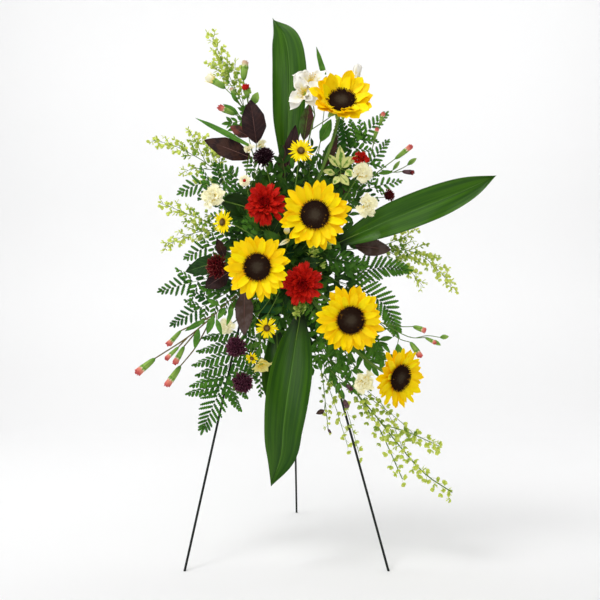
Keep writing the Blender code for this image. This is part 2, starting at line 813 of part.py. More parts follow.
def build_strap_leaves():
    strap_leaf("leaf_top", ("top", -0.03, 0.115), [(-0.03, 0.118, 0.84)],
               [(-0.036, 0.122, 0.89), (-0.033, 0.126, 0.95), (-0.028, 0.13, 1.03), (-0.026, 0.13, 1.1),
                (-0.026, 0.13, 1.17), (-0.036, 0.137, 1.235), (-0.065, 0.15, 1.285)],
               [0.016, 0.034, 0.07, 0.079, 0.08, 0.062, 0.0], CAMERA_SIDE, seed=3)
    strap_leaf("leaf_right", ("right", 0.1, 0.7), [(0.055, 0.085, 0.712)],
               [(0.085, 0.06, 0.735), (0.135, 0.04, 0.757), (0.195, 0.022, 0.783), (0.26, 0.01, 0.808),
                (0.325, 0.004, 0.833), (0.385, 0.0, 0.858), (0.436, -0.002, 0.882)],
               [0.014, 0.046, 0.072, 0.08, 0.074, 0.05, 0.0], CAMERA_SIDE, seed=5)
    strap_leaf("leaf_bottom_front", ("front", -0.015, 0.61), [(-0.003, 0.03, 0.598)],
               [(0.0, 0.022, 0.57), (-0.009, 0.0, 0.515), (-0.018, -0.02, 0.455), (-0.028, -0.033, 0.39),
                (-0.036, -0.036, 0.325), (-0.042, -0.032, 0.262), (-0.064, -0.022, 0.196)],
               [0.02, 0.064, 0.09, 0.094, 0.084, 0.064, 0.0], CAMERA_SIDE, seed=7)
    strap_leaf("leaf_bottom_back", ("bottom", -0.06, 0.075), [(-0.058, 0.07, 0.556)],
               [(-0.054, 0.066, 0.53), (-0.052, 0.058, 0.48), (-0.05, 0.05, 0.43), (-0.047, 0.046, 0.385),
                (-0.043, 0.046, 0.335)],
               [0.018, 0.058, 0.074, 0.06, 0.0], CAMERA_SIDE, seed=9)
    strap_leaf("leaf_left_dark", ("left", 0.1, 0.765), [(-0.105, 0.08, 0.785)],
               [(-0.118, 0.065, 0.8), (-0.138, 0.045, 0.818), (-0.16, 0.036, 0.826), (-0.18, 0.032, 0.826)],
               [0.016, 0.048, 0.044, 0.0], CAMERA_SIDE, seed=11)


# Sunflowers

def sunflower(name, root, at, facing, radius, seed, petals=11, cup=0.45, over=0.0):
    """Two layers of petals on a plate, a dome of disc florets, and the stem with its bracts.

    cup is how far the petals bend forward, and over adds bend on one side.
    """
    frame = aim(at, facing)
    way = Vector(facing).normalized()
    reach = radius - PLATE_RADIUS

    def curl(azimuth, rng):
        return cup * rng.uniform(0.75, 1.2) + over * max(0.0, math.cos(azimuth)) ** 2

    def curl_more(azimuth, rng):
        return curl(azimuth, rng) + 0.12

    profile = ((PLATE_RADIUS * 0.8, PLATE_BOTTOM), (PLATE_RADIUS, -0.0002),
               (PLATE_RADIUS * 0.94, PLATE_TOP))
    rows = ((0, reach * 1.03, radius * 0.3, -0.05, curl, LANCE, 1.0),
            (1, reach * 0.98, radius * 0.29, 0.05, curl_more, POINTED, 1.0))
    as_node("sunflower_" + name + "_petals", bare_head(head_end(frame, profile, 2 * petals, rows, seed)),
            SUN_YELLOW)

    disc_frame = aim(Vector(at) + way * (PLATE_TOP + GAP), facing)
    disc = bumpy_dome(DISC_FOOT, DISC_RADIUS, DISC_LIFT, DISC_HEIGHT, 3, 14, 0.0014, disc_frame)
    as_node("sunflower_" + name + "_disc", disc, SUN_BROWN)

    base = PLATE_BOTTOM - GAP
    cup_profile = ((0.006, base - 0.018), (0.013, base - 0.009), (0.0165, base - 0.005), (0.016, base))
    bracts = ((1, 0.026, 0.013, -0.25, -0.35, LANCE, 1.0),)
    headed_node("sunflower_" + name + "_stem", root, at, facing, -base + 0.022, 0.004, STEM_GREEN,
                head_end(frame, cup_profile, 12, bracts, seed + 50), 4)


def build_sunflowers():
    sunflower("top", ("front", 0.004, 0.785), (0.092, -0.03, 1.049), (0.05, -0.86, 0.5),
              0.072, 21, cup=0.75)
    sunflower("centre", ("front", -0.013, 0.725), (0.032, -0.06, 0.788), (0.0, -1.0, 0.05), 0.076, 22)
    sunflower("left", ("front", -0.046, 0.685), (-0.091, -0.06, 0.676), (-0.12, -1.0, 0.0), 0.073, 23)
    sunflower("right", ("front", 0.008, 0.65), (0.109, -0.05, 0.562), (0.1, -1.0, -0.12), 0.074, 24)
    sunflower("low", ("front", 0.016, 0.622), (0.216, -0.02, 0.435), (0.62, -0.76, -0.18), 0.07, 25,
              petals=10, cup=0.55, over=0.6)


# Round heads, each made as the end of a stem

def headed_node(name, root, at, facing, back, radius, material, end, steps=3):
    """Stem from its hole to the back of one head, with the head grown on it."""
    neck = Vector(at) - Vector(facing).normalized() * back
    path = stem_path(root, radius, neck, facing, steps)
    as_node(name, grown(Twig(path, radius, end)), material, path[1])


def mum_end(frame, seed):
    profile = ((0.009, -0.004), (0.013, 0.0), (0.012, 0.0035), (0.008, 0.0068))
    rows = ((0, 0.037, 0.0135, 0.02, 0.1, STRAP, 0.9),
            (1, 0.034, 0.0125, 0.32, 0.12, STRAP, 0.88),
            (2, 0.026, 0.0105, 0.75, 0.12, STRAP, 0.88))
    return head_end(frame, profile, 22, rows, seed, 0.01)


def mum(name, root, at, facing, seed):
    headed_node("mum_" + name, root, at, facing, 0.01, 0.0025, RED, mum_end(aim(at, facing), seed))


def build_mums():
    mum("left", ("front", -0.043, 0.74), (-0.078, -0.01, 0.82), (-0.1, -1.0, 0.15), 31)
    mum("low", ("front", -0.021, 0.668), (0.004, -0.01, 0.641), (0.0, -1.0, -0.05), 32)


def carnation_end(frame, size, around, seed):
    """Frilled head about size across on its tubular calyx."""
    profile = ((0.1 * size, -0.26 * size), (0.14 * size, -0.02 * size), (0.15 * size, 0.07 * size),
               (0.12 * size, 0.12 * size), (0.06 * size, 0.16 * size))
    rows = ((1, 0.4 * size, 0.46 * size, 0.08, 0.12, FAN, 0.84),
            (2, 0.36 * size, 0.36 * size, 0.5, 0.12, FAN, 0.82),
            (3, 0.27 * size, 0.17 * size, 1.05, 0.12, FAN, 0.8))
    return head_end(frame, profile, around, rows, seed, 0.2 * size)


def carnation(name, root, at, facing, size, seed):
    headed_node("carnation_" + name, root, at, facing, 0.42 * size, 0.0016, CREAM,
                carnation_end(aim(at, facing), size, 12, seed))


def build_carnations():
    carnation("low", ("front", 0.018, 0.59), (0.143, 0.0, 0.422), (0.1, -0.95, -0.3), 0.047, 44)
    carnation("green", ("front", -0.072, 0.64), (-0.17, 0.03, 0.548), (-0.3, -0.9, -0.1), 0.04, 45)

    right = Spray("carnations_right", ("front", 0.019, 0.748), [(0.045, 0.036, 0.772), (0.085, 0.03, 0.81)],
                  0.0016, CREAM)
    right.bloom(carnation_end, (0.149, -0.01, 0.814), (0.3, -0.95, 0.0),
                [(0.085, 0.03, 0.81), (0.118, 0.026, 0.812)], 0.023, 0.054, 12, 42)
    right.bloom(carnation_end, (0.136, 0.0, 0.889), (0.3, -0.9, 0.3),
                [(0.08, 0.03, 0.805), (0.11, 0.032, 0.85)], 0.02, 0.048, 12, 43)
    right.finish()

    left = Spray("carnations_left", ("front", -0.062, 0.755), [(-0.09, 0.036, 0.79), (-0.12, 0.036, 0.85)],
                 0.0016, CREAM)
    left.bloom(carnation_end, (-0.193, -0.01, 0.836), (-0.35, -0.9, 0.2),
               [(-0.1, 0.036, 0.81), (-0.15, 0.03, 0.824)], 0.022, 0.054, 12, 41)
    left.bloom(button_end, (-0.124, 0.012, 0.872), (-0.1, -0.95, 0.1), [(-0.116, 0.036, 0.842)],
               0.006, 0.014, 141)
    left.bloom(carnation_end, (-0.116, 0.02, 0.946), (-0.2, -0.8, 0.6),
               [(-0.12, 0.036, 0.848), (-0.121, 0.028, 0.895)], 0.01, 0.024, 8, 142)
    left.bloom(carnation_end, (-0.088, 0.054, 0.962), (0.1, -0.8, 0.6),
               [(-0.12, 0.036, 0.85), (-0.095, 0.034, 0.905)], 0.01, 0.024, 8, 143)
    left.finish()


def button_end(frame, radius, seed):
    """Flat little head with a ring of blunt florets round a low dome."""
    profile = ((0.4 * radius, -0.15 * radius), (0.45 * radius, 0.15 * radius),
               (0.3 * radius, 0.35 * radius))
    rows = ((0, 0.6 * radius, 0.42 * radius, 0.1, 0.1, FAN, 0.85),)
    return head_end(frame, profile, 14, rows, seed, 0.45 * radius)


def floret_end(frame, radius, height, around, seed):
    """Dense head: pointed florets out of every second face of a smaller core."""
    profile = ((0.42 * radius, -0.25 * height), (0.56 * radius, 0.05 * height),
               (0.48 * radius, 0.36 * height),
               (0.24 * radius, 0.58 * height))
    rows = ((0, 0.5 * radius, 0.26 * radius, -0.05, 0.2, LANCE, 1.0),
            (1, 0.48 * radius, 0.24 * radius, 0.35, 0.2, SPIKE, 1.0),
            (2, 0.42 * radius, 0.18 * radius, 0.9, 0.2, SPIKE, 1.0))
    return head_end(frame, profile, around, rows, seed, 0.75 * height)


def build_dark_heads():
    at, facing = (-0.081, 0.01, 0.924), (-0.1, -0.9, 0.4)
    headed_node("scabiosa", ("front", -0.044, 0.777), at, facing, 0.014, 0.0015, NEAR_BLACK,
                floret_end(aim(at, facing), 0.026, 0.02, 14, 51))

    purple = Spray("purple_heads", ("front", -0.062, 0.616), [(-0.085, 0.04, 0.585), (-0.12, 0.03, 0.54)],
                   0.0015, PLUM)
    purple.bloom(floret_end, (-0.141, 0.0, 0.5), (-0.2, -0.95, 0.0),
                 [(-0.12, 0.03, 0.54), (-0.134, 0.022, 0.515)], 0.011, 0.026, 0.018, 12, 54)
    purple.bloom(floret_end, (-0.127, 0.0, 0.422), (0.0, -0.95, -0.2),
                 [(-0.112, 0.033, 0.549), (-0.112, 0.03, 0.47)], 0.011, 0.026, 0.018, 12, 55)
    purple.finish()


# Daisies

def daisy_end(frame, radius, petals, start, seed):
    """Daisy: one ring of petals under a low button of florets."""
    profile = ((0.24 * radius, -0.06 * radius), (0.27 * radius, 0.04 * radius),
               (0.2 * radius, 0.17 * radius))
    rows = ((0, 0.74 * radius, 0.34 * radius, start, 0.15, LANCE, 1.0),)
    return head_end(frame, profile, 2 * petals, rows, seed, 0.2 * radius)


def daisy(name, root, at, facing, radius, seed):
    headed_node("daisy_" + name, root, at, facing, 0.3 * radius, 0.0015, DAISY_YELLOW,
                daisy_end(aim(at, facing), radius, 12, 0.05, seed))


def build_daisies():
    daisy("upper", ("front", -0.02, 0.779), (0.002, -0.01, 0.936), (0.1, -0.95, 0.25), 0.031, 61)
    daisy("left", ("front", -0.07, 0.719), (-0.17, -0.02, 0.777), (-0.65, -0.75, 0.0), 0.03, 62)

    low = Spray("daisy_low_spray", ("front", -0.042, 0.636), [(-0.058, 0.034, 0.6), (-0.076, 0.016, 0.566)],
                0.0015, DAISY_YELLOW)
    low.bloom(daisy_end, (-0.073, -0.02, 0.543), (0.0, -0.95, -0.1),
              [(-0.072, 0.019, 0.574), (-0.073, 0.004, 0.552)], 0.008, 0.027, 12, 0.05, 63)
    low.bloom(daisy_end, (-0.107, 0.0, 0.475), (-0.3, -0.8, -0.3),
              [(-0.076, 0.016, 0.566), (-0.096, 0.02, 0.52)], 0.006, 0.013, 6, 0.4, 64)
    low.bloom(daisy_end, (-0.085, 0.0, 0.453), (0.0, -0.8, -0.4),
              [(-0.092, 0.02, 0.53), (-0.089, 0.02, 0.49)], 0.006, 0.015, 6, 0.3, 65)
    low.finish()


# Leaf sprays

def build_leaf_sprays():
    left = Spray("burgundy_leaves_left", ("left", 0.1, 0.788),
                 [(-0.1, 0.085, 0.83), (-0.104, 0.055, 0.9), (-0.101, 0.042, 0.94)], 0.0014, BURGUNDY)
    left.leaf([(-0.101, 0.042, 0.94), (-0.099, 0.035, 0.962)], (-0.112, 0.018, 1.058), 0.056, sag=0.006)
    left.leaf([(-0.103, 0.05, 0.915), (-0.112, 0.044, 0.93)], (-0.218, 0.03, 0.968), 0.048, sag=0.006)
    left.leaf([(-0.103, 0.048, 0.922), (-0.112, 0.052, 0.955), (-0.118, 0.052, 0.98)],
              (-0.161, 0.046, 1.003), 0.024)
    left.finish()

    centre = Spray("burgundy_leaves_centre", ("top", -0.004, 0.098), [(-0.008, 0.088, 0.85)],
                   0.0014, BURGUNDY)
    centre.leaf([(-0.008, 0.088, 0.85), (-0.02, 0.072, 0.885), (-0.029, 0.063, 0.91)],
                (-0.012, 0.046, 1.006), 0.026)
    centre.leaf([(-0.008, 0.088, 0.848), (0.0, 0.092, 0.94), (0.009, 0.092, 0.992)],
                (0.024, 0.088, 1.066), 0.028)
    centre.leaf([(-0.007, 0.09, 0.845), (0.02, 0.078, 0.9), (0.043, 0.067, 0.952)],
                (0.072, 0.058, 1.018), 0.022)
    centre.finish()

    right = Spray("burgundy_leaves_right", ("right", 0.114, 0.745),
                  [(0.06, 0.108, 0.746), (0.1, 0.1, 0.738)], 0.0014, BURGUNDY)
    right.leaf([(0.1, 0.1, 0.738), (0.13, 0.094, 0.732)], (0.214, 0.086, 0.722), 0.042, sag=0.005)
    right.leaf([(0.06, 0.108, 0.746), (0.076, 0.095, 0.8), (0.082, 0.082, 0.85)],
               (0.122, 0.06, 0.856), 0.026)
    right.leaf([(0.082, 0.082, 0.85), (0.084, 0.078, 0.872)], (0.096, 0.066, 0.915), 0.024)
    right.bloom(floret_end, (0.203, 0.055, 0.845), (0.6, -0.7, 0.2),
                [(0.078, 0.092, 0.812), (0.13, 0.08, 0.835)], 0.01, 0.016, 0.016, 10, 53)
    right.finish()

    low = Spray("burgundy_leaves_low", ("left", 0.1, 0.704), [(-0.12, 0.088, 0.706), (-0.15, 0.075, 0.702)],
                0.0014, BURGUNDY)
    low.leaf([(-0.15, 0.075, 0.702), (-0.176, 0.064, 0.697)], (-0.262, 0.055, 0.676), 0.032)
    low.leaf([(-0.148, 0.076, 0.702), (-0.174, 0.06, 0.704)], (-0.19, 0.044, 0.746), 0.022)
    low.leaf([(-0.14, 0.08, 0.704), (-0.15, 0.055, 0.682), (-0.162, 0.043, 0.669)],
             (-0.214, 0.03, 0.64), 0.032)
    low.leaf([(-0.135, 0.082, 0.704), (-0.132, 0.062, 0.66), (-0.127, 0.043, 0.628)],
             (-0.126, 0.02, 0.524), 0.042)
    low.bloom(floret_end, (-0.177, 0.01, 0.679), (-0.5, -0.85, 0.0), [(-0.15, 0.055, 0.682)],
              0.012, 0.025, 0.02, 12, 52)
    low.finish()

    pale = Spray("pale_leaves", ("top", 0.016, 0.108), [(0.028, 0.1, 0.85)], 0.0014, PALE_LEAF)
    pale.leaf([(0.028, 0.1, 0.85), (0.06, 0.075, 0.885), (0.094, 0.045, 0.905)],
              (0.09, 0.024, 0.955), 0.022)
    pale.leaf([(0.094, 0.045, 0.905), (0.097, 0.041, 0.907)], (0.115, 0.026, 0.931), 0.02)
    pale.leaf([(0.078, 0.058, 0.896), (0.09, 0.048, 0.892)], (0.112, 0.038, 0.866), 0.02)
    pale.leaf([(0.027, 0.101, 0.845), (0.045, 0.104, 0.96), (0.058, 0.096, 1.06), (0.062, 0.088, 1.115)],
              (0.038, 0.08, 1.196), 0.016, sag=-0.004)
    pale.finish()

    filler = Spray("filler_leaves", ("front", -0.038, 0.71), [(-0.034, 0.03, 0.712)], 0.0014, FERN_GREEN)
    filler.leaf([(-0.034, 0.03, 0.712), (-0.04, 0.024, 0.722)], (-0.082, 0.01, 0.762), 0.03)
    filler.leaf([(-0.0345, 0.033, 0.712), (-0.03, 0.022, 0.724)], (-0.01, 0.0, 0.772), 0.026)
    filler.leaf([(-0.036, 0.042, 0.711), (-0.02, 0.03, 0.69), (-0.008, 0.022, 0.682)],
                (0.052, 0.006, 0.692), 0.03)
    filler.leaf([(-0.035, 0.037, 0.712), (-0.034, 0.026, 0.692)], (-0.036, 0.006, 0.64), 0.024)
    filler.leaf([(-0.036, 0.046, 0.711), (0.0, 0.036, 0.716), (0.016, 0.026, 0.718)],
                (0.062, 0.01, 0.722), 0.026)
    filler.leaf([(0.0, 0.036, 0.716), (0.018, 0.024, 0.734)], (0.052, 0.012, 0.772), 0.026)
    filler.leaf([(-0.036, 0.041, 0.712), (-0.06, 0.03, 0.735), (-0.064, 0.026, 0.752)],
                (-0.04, 0.018, 0.796), 0.026)
    filler.leaf([(-0.03, 0.032, 0.697), (-0.002, 0.022, 0.664), (0.01, 0.016, 0.636)],
                (0.022, -0.002, 0.594), 0.026)
    filler.leaf([(-0.002, 0.022, 0.664), (0.018, 0.016, 0.652)], (0.05, 0.006, 0.64), 0.022)
    filler.finish()


# Ferns

def share_along(points, share):
    spot = share * (len(points) - 1)
    low = min(int(spot), len(points) - 2)
    return lerp(points[low], points[low + 1], spot - low)


def fern_end(points, reach, pairs, seed):
    """Rib whose side faces grow leaflets that shorten toward its tip."""
    def grow_fern(growth, ring):
        rng = random.Random(seed)
        smooth = through(points, 6)
        shares = [0.16 + 0.76 * i / pairs for i in range(pairs + 1)]
        rib = [share_along(smooth, share) for share in shares]
        widths = [lerp(0.0024, 0.0013, share) for share in shares]
        bands = growth.extend(ring, sections_along(rib, widths, widths, CAMERA_SIDE), smooth[-1])
        for i, band in enumerate(bands[1:]):
            here = (rib[i] + rib[i + 1]) / 2
            gap = (rib[i + 1] - rib[i]).length
            along = (rib[i + 1] - rib[i]) / gap
            side = along.cross(CAMERA_SIDE).normalized()
            for hand in (1, -1):
                face = facing_side(band, side * hand)
                lean = CAMERA_SIDE * rng.uniform(-0.12, 0.05)
                way = (side * hand * 0.85 + along * 0.55 + lean).normalized()
                long = reach * (1.0 - 0.62 * shares[i]) * rng.uniform(0.92, 1.08)
                waist = section(here + way * long * 0.5, way, CAMERA_SIDE, gap * 0.62, FERN_THICKNESS)
                growth.sprout(face, [waist], here + way * long)
    return grow_fern


def facing_side(band, way):
    for face in band:
        face.normal_update()
    face = max(band, key=lambda side: side.normal.dot(way))
    band.remove(face)
    return face


def fern(name, root, stalk, branches, seed):
    """Frond: a stalk and branches, each with its points, leaflet reach and number of pairs."""
    frond = Spray(name, root, stalk, 0.0016, FERN_GREEN)
    for number, (points, reach, pairs) in enumerate(branches):
        points = [Vector(place) for place in points]
        frond.rail(points, fern_end(points, reach, pairs, seed + number))
    frond.finish()


def build_ferns():
    fern("fern_upper_right", ("right", 0.122, 0.785), [(0.055, 0.126, 0.815), (0.082, 0.128, 0.86)],
         [([(0.082, 0.128, 0.86), (0.095, 0.13, 0.93), (0.143, 0.13, 0.99), (0.205, 0.128, 1.05)], 0.05, 6),
          ([(0.08, 0.128, 0.857), (0.12, 0.134, 0.89), (0.165, 0.134, 0.93), (0.21, 0.13, 0.985)],
           0.042, 5),
          ([(0.076, 0.127, 0.85), (0.13, 0.12, 0.86), (0.18, 0.112, 0.874), (0.236, 0.105, 0.886)],
           0.038, 4)],
         71)
    fern("fern_right", ("right", 0.122, 0.665), [(0.06, 0.12, 0.66), (0.09, 0.115, 0.65)],
         [([(0.088, 0.115, 0.651), (0.14, 0.108, 0.672), (0.2, 0.1, 0.682), (0.252, 0.096, 0.676)],
           0.04, 5),
          ([(0.09, 0.115, 0.65), (0.15, 0.095, 0.625), (0.2, 0.08, 0.59), (0.224, 0.07, 0.53)], 0.045, 6),
          ([(0.084, 0.116, 0.652), (0.116, 0.112, 0.59), (0.152, 0.108, 0.53), (0.192, 0.104, 0.462)],
           0.045, 5)],
         74)
    fern("fern_left_upper", ("left", 0.122, 0.755), [(-0.112, 0.12, 0.77), (-0.125, 0.114, 0.81)],
         [([(-0.125, 0.114, 0.81), (-0.17, 0.102, 0.862), (-0.23, 0.094, 0.878), (-0.28, 0.09, 0.856)],
           0.052, 6),
          ([(-0.112, 0.12, 0.77), (-0.165, 0.11, 0.748), (-0.225, 0.104, 0.728), (-0.269, 0.102, 0.704)],
           0.045, 5)],
         77)
    fern("fern_left_low", ("left", 0.122, 0.665), [(-0.115, 0.115, 0.662), (-0.13, 0.11, 0.655)],
         [([(-0.128, 0.11, 0.656), (-0.19, 0.098, 0.66), (-0.26, 0.09, 0.645), (-0.325, 0.086, 0.626)],
           0.052, 6),
          ([(-0.13, 0.11, 0.655), (-0.175, 0.095, 0.62), (-0.235, 0.082, 0.585), (-0.296, 0.075, 0.548)],
           0.048, 6)],
         81)
    fern("fern_bottom", ("left", 0.11, 0.6), [(-0.108, 0.111, 0.59), (-0.118, 0.112, 0.57)],
         [([(-0.118, 0.112, 0.57), (-0.152, 0.109, 0.5), (-0.178, 0.09, 0.42), (-0.223, 0.062, 0.308)],
           0.085, 7),
          ([(-0.114, 0.111, 0.578), (-0.106, 0.112, 0.51), (-0.096, 0.104, 0.45), (-0.092, 0.094, 0.382)],
           0.038, 4)],
         84)


# Goldenrod

def plume_end(points, seed, gap=0.019, floret=0.012):
    """Arching rib whose small florets stand out of its faces."""
    def grow_plume(growth, ring):
        rng = random.Random(seed)
        smooth = through(points, 8)
        length = sum((b - a).length for a, b in zip(smooth, smooth[1:]))
        steps = max(4, round(length * 0.85 / gap))
        shares = [0.15 + 0.8 * step / steps for step in range(steps + 1)]
        rib = [share_along(smooth, share) for share in shares]
        widths = [lerp(0.0024, 0.0012, share) for share in shares]
        bands = growth.extend(ring, sections_along(rib, widths, widths, CAMERA_SIDE), smooth[-1])
        for i, band in enumerate(bands[1:]):
            here = (rib[i] + rib[i + 1]) / 2
            along = (rib[i + 1] - rib[i]).normalized()
            side = along.cross(CAMERA_SIDE).normalized()
            for way in (side, -side, CAMERA_SIDE):
                lean = (way + along * rng.uniform(0.5, 0.9)).normalized()
                growth.sprout(facing_side(band, way), [], here + lean * floret * rng.uniform(0.8, 1.25))
    return grow_plume


def goldenrod(name, root, stalk, plumes, seed):
    spray = Spray(name, root, stalk, 0.0014, GOLDENROD)
    for number, points in enumerate(plumes):
        points = [Vector(place) for place in points]
        spray.rail(points, plume_end(points, seed + number))
    spray.finish()


def build_goldenrod():
    goldenrod("goldenrod_upper_left", ("top", -0.072, 0.115),
              [(-0.078, 0.112, 0.86), (-0.092, 0.108, 0.95), (-0.112, 0.105, 1.015),
               (-0.148, 0.104, 1.092)],
              [[(-0.148, 0.104, 1.092), (-0.165, 0.104, 1.13), (-0.188, 0.103, 1.18),
                (-0.214, 0.102, 1.246)],
               [(-0.142, 0.104, 1.08), (-0.18, 0.108, 1.125), (-0.217, 0.112, 1.172)],
               [(-0.115, 0.105, 1.022), (-0.132, 0.112, 1.09), (-0.156, 0.118, 1.17)]],
              91)
    goldenrod("goldenrod_left", ("left", 0.13, 0.78),
              [(-0.12, 0.128, 0.812), (-0.165, 0.124, 0.87), (-0.205, 0.12, 0.915), (-0.23, 0.119, 0.936)],
              [[(-0.23, 0.119, 0.936), (-0.262, 0.118, 0.954), (-0.305, 0.116, 0.974),
                (-0.352, 0.114, 0.985)],
               [(-0.224, 0.119, 0.931), (-0.245, 0.122, 0.975), (-0.264, 0.124, 1.01)],
               [(-0.19, 0.121, 0.9), (-0.21, 0.126, 0.955), (-0.234, 0.128, 0.999)]],
              94)
    goldenrod("goldenrod_left_low", ("left", 0.106, 0.742),
              [(-0.125, 0.098, 0.75), (-0.16, 0.084, 0.765), (-0.185, 0.074, 0.775)],
              [[(-0.185, 0.074, 0.775), (-0.23, 0.066, 0.792), (-0.28, 0.062, 0.812),
                (-0.323, 0.06, 0.829)],
               [(-0.17, 0.08, 0.769), (-0.225, 0.072, 0.765), (-0.275, 0.07, 0.75),
                (-0.316, 0.068, 0.727)]],
              97)
    goldenrod("goldenrod_right", ("right", 0.128, 0.712),
              [(0.08, 0.14, 0.722), (0.13, 0.146, 0.728), (0.2, 0.146, 0.735)],
              [[(0.2, 0.146, 0.735), (0.25, 0.146, 0.728), (0.31, 0.144, 0.7), (0.374, 0.142, 0.63)],
               [(0.196, 0.146, 0.735), (0.24, 0.15, 0.752), (0.281, 0.152, 0.777)],
               [(0.188, 0.146, 0.734), (0.235, 0.15, 0.71), (0.27, 0.151, 0.672), (0.298, 0.152, 0.638)]],
              100)


# Hanging bells

def hang_bells(spray, twig, count, start, size, seed):
    """Bells along a twig, on its lower sides and toward the viewer by turns."""
    rng = random.Random(seed)
    total = twig.lengths[-1]
    for i in range(count):
        distance = total * lerp(start, 0.97, i / max(1, count - 1))
        here, along = twig.at(distance)
        side = along.cross(CAMERA_SIDE).normalized()
        if side.z > 0:
            side = -side
        hand = CAMERA_SIDE if i % 3 == 0 else side
        way = hand * 0.9 + along * 0.3 + Vector((0, rng.uniform(-0.3, 0.1), -0.3))
        spray.bell(here, way, size * rng.uniform(0.9, 1.1))


def build_bells():
    right = Spray("bells_right", ("bottom", 0.016, 0.1),
                  [(0.03, 0.088, 0.53), (0.06, 0.072, 0.48), (0.088, 0.062, 0.452)], 0.0014, BELL_GREEN)
    main = right.branch([(0.088, 0.062, 0.452), (0.115, 0.06, 0.409), (0.172, 0.055, 0.341),
                         (0.23, 0.052, 0.268),
                         (0.287, 0.05, 0.206), (0.349, 0.048, 0.164)], 0.0011, cut_end)
    upper = right.branch([(0.19, 0.054, 0.318), (0.25, 0.058, 0.3), (0.321, 0.058, 0.268)], 0.0009, cut_end)
    lower = right.branch([(0.075, 0.067, 0.466), (0.13, 0.078, 0.39), (0.186, 0.082, 0.303),
                          (0.239, 0.08, 0.187)],
                         0.001, cut_end)
    hang_bells(right, main, 10, 0.3, 0.008, 111)
    hang_bells(right, upper, 4, 0.35, 0.008, 112)
    hang_bells(right, lower, 6, 0.3, 0.0075, 113)
    right.finish()

    dark = Spray("bells_dark", ("bottom", -0.004, 0.09),
                 [(0.01, 0.08, 0.53), (0.04, 0.06, 0.47), (0.052, 0.055, 0.43)], 0.0013, BURGUNDY)
    tail = dark.branch([(0.052, 0.055, 0.43), (0.058, 0.052, 0.37), (0.065, 0.05, 0.305)], 0.001, cut_end)
    hang_bells(dark, tail, 4, 0.35, 0.006, 114)
    dark.bud([(0.04, 0.06, 0.47), (0.085, 0.048, 0.43), (0.106, 0.038, 0.412)],
             (0.122, 0.028, 0.398), 0.007)
    dark.bud([(0.05, 0.056, 0.436), (0.085, 0.04, 0.4), (0.1, 0.034, 0.378)], (0.112, 0.028, 0.358), 0.007)
    dark.finish()


# Bud sprays

